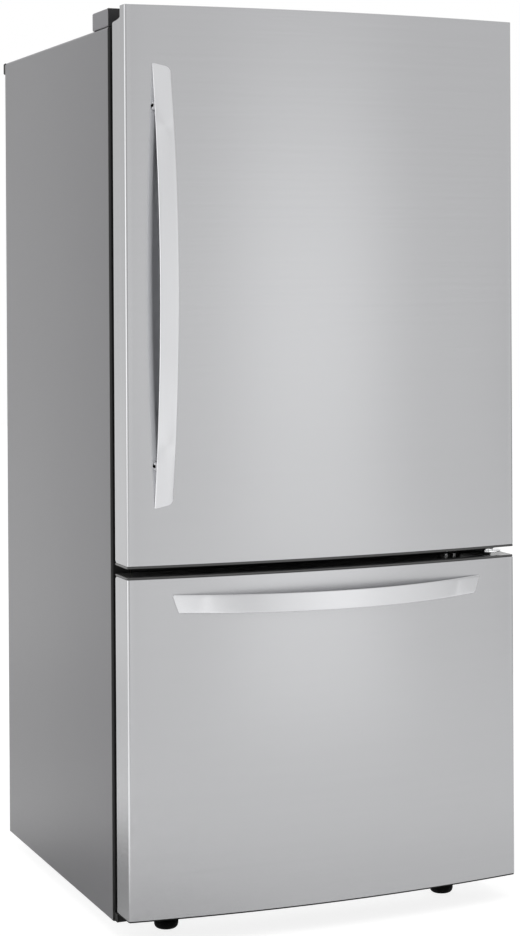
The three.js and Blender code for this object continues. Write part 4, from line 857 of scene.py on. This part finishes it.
def pan_screw(centre):
    """A pan-head screw that faces the front, with a cross recess."""
    x, y, z = centre
    rings = []
    for radius, rise in SCREW_DOME:
        reach, front = radius * SCREW_RADIUS, y - rise * SCREW_RISE
        around = [(x + reach * math.cos(a), z + reach * math.sin(a)) for a in full_turn(SCREW_SIDES)]
        rings.append([(across, front, up) for across, up in around])
    for share in (1.0, RECESS_FLOOR):
        cross = []
        for a in full_turn(SCREW_SIDES):
            on_arm = abs(math.sin(2 * a)) < RECESS_ARM
            reach = SCREW_RADIUS * (RECESS_WIDE * share if on_arm else RECESS_NARROW)
            cross.append((x + reach * math.cos(a), y - SCREW_RISE * share, z + reach * math.sin(a)))
        rings.append(cross)
    return lofted(rings)


def arm_plan(inset):
    """Plan of the middle hinge's arm, its edges drawn in by inset."""
    left, right, nose = HINGE_X - ARM_LEFT + inset, HINGE_X + ARM_RIGHT - inset, ARM_NOSE - inset
    waist = (HINGE_X - ARM_WAIST[0] + inset, ARM_WAIST[1])
    flat_end, corner = (HINGE_X + NOSE_FLAT, HINGE_Y - nose), (right, HINGE_Y - NOSE_CORNER)
    plan = [(right - ARM_TAPER, ARM_WALL), (left, ARM_WALL)]
    plan += quadratic((left, ARM_SHOULDER), waist, (HINGE_X - nose, HINGE_Y), 10)
    plan += arc((HINGE_X, HINGE_Y), nose, 180, 270, 8)[1:]
    return plan + quadratic(flat_end, corner, (right, HINGE_Y + NOSE_SIDE), 8)


def hinge_arm():
    """The arm as a pressed plate with eased edges."""
    levels = ((ARM_EASE, ARM_LOW), (0, ARM_LOW + ARM_EASE), (0, ARM_HIGH - ARM_EASE), (ARM_EASE, ARM_HIGH))
    return lofted([[(x, y, z) for x, y in arm_plan(inset)] for inset, z in levels])


def hinge_pin():
    """The pin with its collar on the arm."""
    sunk, collar_top = ARM_HIGH - 1, ARM_HIGH + COLLAR_RISE
    profile = [(0, sunk), (COLLAR, sunk), (COLLAR, collar_top - COLLAR_EASE)]
    profile += [(COLLAR - COLLAR_EASE, collar_top), (PIN, collar_top)]
    profile += [(PIN, PIN_TOP - PIN_EASE), (PIN - PIN_EASE, PIN_TOP), (0, PIN_TOP)]
    return turned(profile, HINGE_X, HINGE_Y, 32)


gusset = lofted([[(x, y, z) for y, z in GUSSET_SECTION] for x in GUSSET_X])
wall_shells = [block(*HINGE_WALL), gusset]
dressed("middle_hinge_plate", wall_shells, "cabinet", BLACK_STEEL, "black_steel", "middle_hinge")
dressed("middle_hinge_arm", [hinge_arm(), hinge_pin()], "cabinet", ZINC_BRIGHT, "galvanised")
dressed("middle_hinge_screws", [pan_screw(p) for p in WALL_SCREWS], "cabinet", ZINC_BRIGHT, "galvanised")

# ---------------------------------------------------------------- feet

FOOT_X, FOOT_Y, FOOT_RADIUS, FOOT_HEIGHT = 302.5, 17.0, 24.0, 17.0
SOLE, BOWL_FALL, RIM_EASE = 13.0, 5.0, 1.2  # flat underside's radius; bowl and rim, from the foot's top
NECK, NECK_TOP, LEG_EASE = 9.0, 28.0, 0.6
STEM, STEM_ROOT, PITCH, THREAD_LOW, LEG_TOP = 5.0, 4.3, 2, 30, 78.0  # the thread's radii, pitch and ends


def foot_profile():
    """Half section of a levelling leg, from the floor up: bowl-shaped foot, neck and threaded stem."""
    bowl = [(0, 0), (SOLE, 0)]
    bowl += quadratic((SOLE + 0.5, 0), (FOOT_RADIUS, 0.5), (FOOT_RADIUS, FOOT_HEIGHT - BOWL_FALL), 10)
    bowl += [(FOOT_RADIUS, FOOT_HEIGHT - RIM_EASE), (FOOT_RADIUS - 0.3, FOOT_HEIGHT - 0.4)]
    bowl += [(FOOT_RADIUS - 1.1, FOOT_HEIGHT), (NECK + LEG_EASE, FOOT_HEIGHT + LEG_EASE)]
    neck = [(NECK, FOOT_HEIGHT + 2 * LEG_EASE), (NECK, NECK_TOP - LEG_EASE), (NECK - LEG_EASE, NECK_TOP)]
    neck += [(5.2, NECK_TOP + LEG_EASE), (4.6, NECK_TOP + 1.4)]
    thread = []
    for i in range(int((LEG_TOP - THREAD_LOW - 1) / PITCH)):
        root = THREAD_LOW + PITCH * i
        thread += [(STEM_ROOT, root), (STEM, root + PITCH / 2)]
    tip = [(STEM_ROOT, LEG_TOP - LEG_EASE), (STEM_ROOT - LEG_EASE, LEG_TOP), (0, LEG_TOP)]
    return bowl + neck + thread + tip


for side, sign in (("left", -1), ("right", 1)):
    node = "levelling_leg_" + side
    leg = turned(foot_profile(), sign * FOOT_X, FOOT_Y, 48)
    dressed(node + "_turned", [leg], node, FOOT_PLASTIC, "black_plastic", node)

# ---------------------------------------------------------------- door seals

SEAL_HALF, SEAL_WIDTH = 390.0, 15.0
# one half of the profile, as (from the seal's outer edge, y): the dart, the bellows and the magnet's sleeve
SEAL_HALF_SECTION = (
    (0.4, -20.7), (0, -20.2), (0, -17.6), (0.6, -17), (3.6, -16.6), (4.4, -15.4), (3.2, -13.6),
    (4.6, -11.8), (3.4, -10.2), (0.6, -9.4), (0, -8.4), (0, -3.2), (0.5, -2.3), (1.4, -2),
)


def seal_ring(low, high):
    """A welded frame of seal profile; its four corners are mitred."""
    section = [*SEAL_HALF_SECTION, *((SEAL_WIDTH - d, y) for d, y in reversed(SEAL_HALF_SECTION))]
    rings = []
    for sx, sz in ((-1, -1), (1, -1), (1, 1), (-1, 1)):
        corner = (sx * SEAL_HALF, high if sz > 0 else low)
        rings.append([(corner[0] - sx * d, y, corner[1] - sz * d) for d, y in section])
    return lofted(rings, loop=True)


for name, body, low, high in (("door_gasket", "door", 727, 1745), ("drawer_gasket", "drawer", 66, 688)):
    dressed(name + "_bellows", [seal_ring(low, high)], body, SEAL_RUBBER, "door_seal", name, smooth=50)

# ---------------------------------------------------------------- stage (metres)

FLOOR_HALF, FLOOR_GLOW = 14.0, 0.85
WORLD_LEVEL = 0.55  # the plain light that falls on the object
SCREEN_ORIGIN_Y = -0.4  # screens are placed from the object's front
CAMERA_PLACE = (-1.7041, -4.1455, 1.2632)
CAMERA_YAW, CAMERA_PITCH, CAMERA_ROLL = (math.radians(angle) for angle in (-22.511, -0.367, -0.316))
CAMERA_LENS, CAMERA_SENSOR, CAMERA_SHIFT, CAMERA_CLIP = 81.011, 36.0, -0.18402, 60.0


def one_face(name, corners):
    """A mesh of one four-sided face."""
    mesh = bpy.data.meshes.new(name)
    mesh.from_pydata(corners, [], [(0, 1, 2, 3)])
    return mesh


def floor():
    """A pale floor that keeps the object's shadow and is white to the camera and in reflections."""
    mesh = one_face("floor", [((2 * i - 1) * FLOOR_HALF, (2 * j - 1) * FLOOR_HALF, 0) for i, j in SQUARE])
    obj = added("floor", mesh)
    f = Finish("floor_paper")
    fine = f.noise(40, detail=2)
    f.colour(fine, (0.33, 0.33, 0.33), (0.36, 0.36, 0.36))
    f.roughness(f.ranged(fine, (0.85, 0.95)))
    f.constant(Specular_IOR_Level=0.0)
    f.add_glow(f.shader.outputs[0], f.maths("MULTIPLY", f.seen(), FLOOR_GLOW))
    mesh.materials.append(f.material)


def studio_world():
    """White to the camera, in gloss and through glass; a plain level of light on the object."""
    world = bpy.data.worlds.new("studio")
    bpy.context.scene.world = world
    world.use_nodes = True
    w = Nodes(world.node_tree)
    background = w.tree.nodes["Background"]
    background.inputs["Color"].default_value = (1, 1, 1, 1)
    w.link(w.ranged(w.seen(), (WORLD_LEVEL, 1.0)), background.inputs["Strength"])


def softbox(name, place, target, size, radiance):
    """A rectangular lamp that gloss doesn't show; radiance is the light that its face gives."""
    lamp = bpy.data.lights.new(name, "AREA")
    lamp.shape = "RECTANGLE"
    lamp.size, lamp.size_y = size
    lamp.energy = radiance * math.pi * size[0] * size[1]
    obj = added(name, lamp)
    obj.location = place
    aim = Vector(target) - Vector(place)
    obj.rotation_euler = aim.to_track_quat("-Z", "Y").to_euler()
    obj.visible_glossy = False


def camera():
    """The photograph's viewpoint, fitted to the object's edges."""
    data = bpy.data.cameras.new("camera")
    obj = added("camera", data)
    up = Vector((0, 0, 1))
    right = Vector((math.cos(CAMERA_YAW), math.sin(CAMERA_YAW), 0))
    ahead = Vector((-math.sin(CAMERA_YAW), math.cos(CAMERA_YAW), 0))
    tilted = ahead * math.cos(CAMERA_PITCH) + up * math.sin(CAMERA_PITCH)
    raised = up * math.cos(CAMERA_PITCH) - ahead * math.sin(CAMERA_PITCH)
    across = right * math.cos(CAMERA_ROLL) + raised * math.sin(CAMERA_ROLL)
    above = raised * math.cos(CAMERA_ROLL) - right * math.sin(CAMERA_ROLL)
    turn = Matrix((across, above, -tilted)).transposed()
    obj.matrix_world = Matrix.Translation(CAMERA_PLACE) @ turn.to_4x4()
    data.lens = CAMERA_LENS
    data.sensor_width = CAMERA_SENSOR
    data.shift_y = CAMERA_SHIFT
    data.clip_end = CAMERA_CLIP
    bpy.context.scene.camera = obj


def soft_edges(f):
    """1 in the middle of a panel one wide and one high, falling smoothly to 0 at its edges."""
    place = f.node("ShaderNodeTexCoord")
    split = f.node("ShaderNodeSeparateXYZ")
    f.link(place.outputs["Object"], split.inputs[0])
    across, along = (
        f.ranged(
            f.maths("ABSOLUTE", split.outputs[axis]), (0, 1), (0.5, 0), interpolation_type="SMOOTHERSTEP"
        )
        for axis in ("X", "Z")
    )
    return f.maths("MULTIPLY", across, along)


def screen(name, azimuth, distance, size, height, add=0.0, absorb=0.0, flat=False):
    """A soft-edged panel that shows only in gloss: it adds to what is behind it, or takes from it.

    It stands at a distance from the object's front in the given direction, or lies flat there.
    """
    turn = math.radians(azimuth)
    ahead = Vector((math.sin(turn), -math.cos(turn), 0))
    across = Vector((math.cos(turn), math.sin(turn), 0))
    centre = Vector((0, SCREEN_ORIGIN_Y, height)) + ahead * distance
    mesh = one_face(name, [(i - 0.5, 0, j - 0.5) for i, j in SQUARE])
    obj = added(name, mesh)
    up = Vector((0, 0, 1))
    rise, facing = (ahead, up) if flat else (up, -ahead)
    axes = Matrix((across * size[0], facing, rise * size[1])).transposed()
    obj.matrix_world = Matrix.Translation(centre) @ axes.to_4x4()
    f = Finish(name)
    strength = soft_edges(f)
    through = f.node("ShaderNodeBsdfTransparent")
    f.link(f.tint(strength, WHITE, (1 - absorb,) * 3), through.inputs["Color"])
    f.add_glow(through.outputs[0], f.maths("MULTIPLY", strength, add))
    mesh.materials.append(f.material)
    for ray in ("camera", "diffuse", "transmission", "shadow", "volume_scatter"):
        setattr(obj, f"visible_{ray}", False)


floor()
studio_world()
camera()
softbox("overhead", place=(-0.4, -1.6, 4.4), target=(0, 0, 0.9), size=(3.6, 3.0), radiance=1.5)
softbox("left_fill", place=(-4.0, 1.4, 2.0), target=(-0.4, 0.3, 0.9), size=(1.8, 2.6), radiance=1.5)
screen("front_screen", azimuth=21.5, distance=5.0, size=(3.4, 6.0), height=1.1, add=0.3)
screen("front_floor_screen", azimuth=21.5, distance=3.2, size=(3.0, 4.4), height=0.02, add=0.32, flat=True)
screen("near_floor_flag", azimuth=15, distance=0.15, size=(3.4, 1.0), height=0.012, absorb=0.11, flat=True)
screen("wide_screen", azimuth=12, distance=6.0, size=(14.0, 6.0), height=0.9, add=0.17)
screen("left_screen", azimuth=-78, distance=4.0, size=(6.0, 8.0), height=1.2, add=1.6)
screen("left_floor_screen", azimuth=-78, distance=1.6, size=(2.6, 2.6), height=0.02, add=1.2, flat=True)
screen("camera_flag", azimuth=-16, distance=4.4, size=(2.6, 8.0), height=1.2, absorb=0.55)
screen("right_flag", azimuth=84, distance=4.4, size=(8.4, 4.0), height=-0.1, absorb=0.72)
screen("right_floor_flag", azimuth=85, distance=4.8, size=(4.2, 4.2), height=0.02, absorb=0.55, flat=True)
screen("rear_flag", azimuth=-161, distance=5.0, size=(6.0, 9.0), height=3.6, absorb=0.22)
screen("side_floor_flag", azimuth=-132, distance=0.6, size=(1.6, 1.6), height=0.012, absorb=0.6, flat=True)
screen("rear_floor_flag", azimuth=-158, distance=2.5, size=(2.6, 4.4), height=0.014, absorb=0.2, flat=True)

view = bpy.context.scene.view_settings
view.view_transform = "Standard"
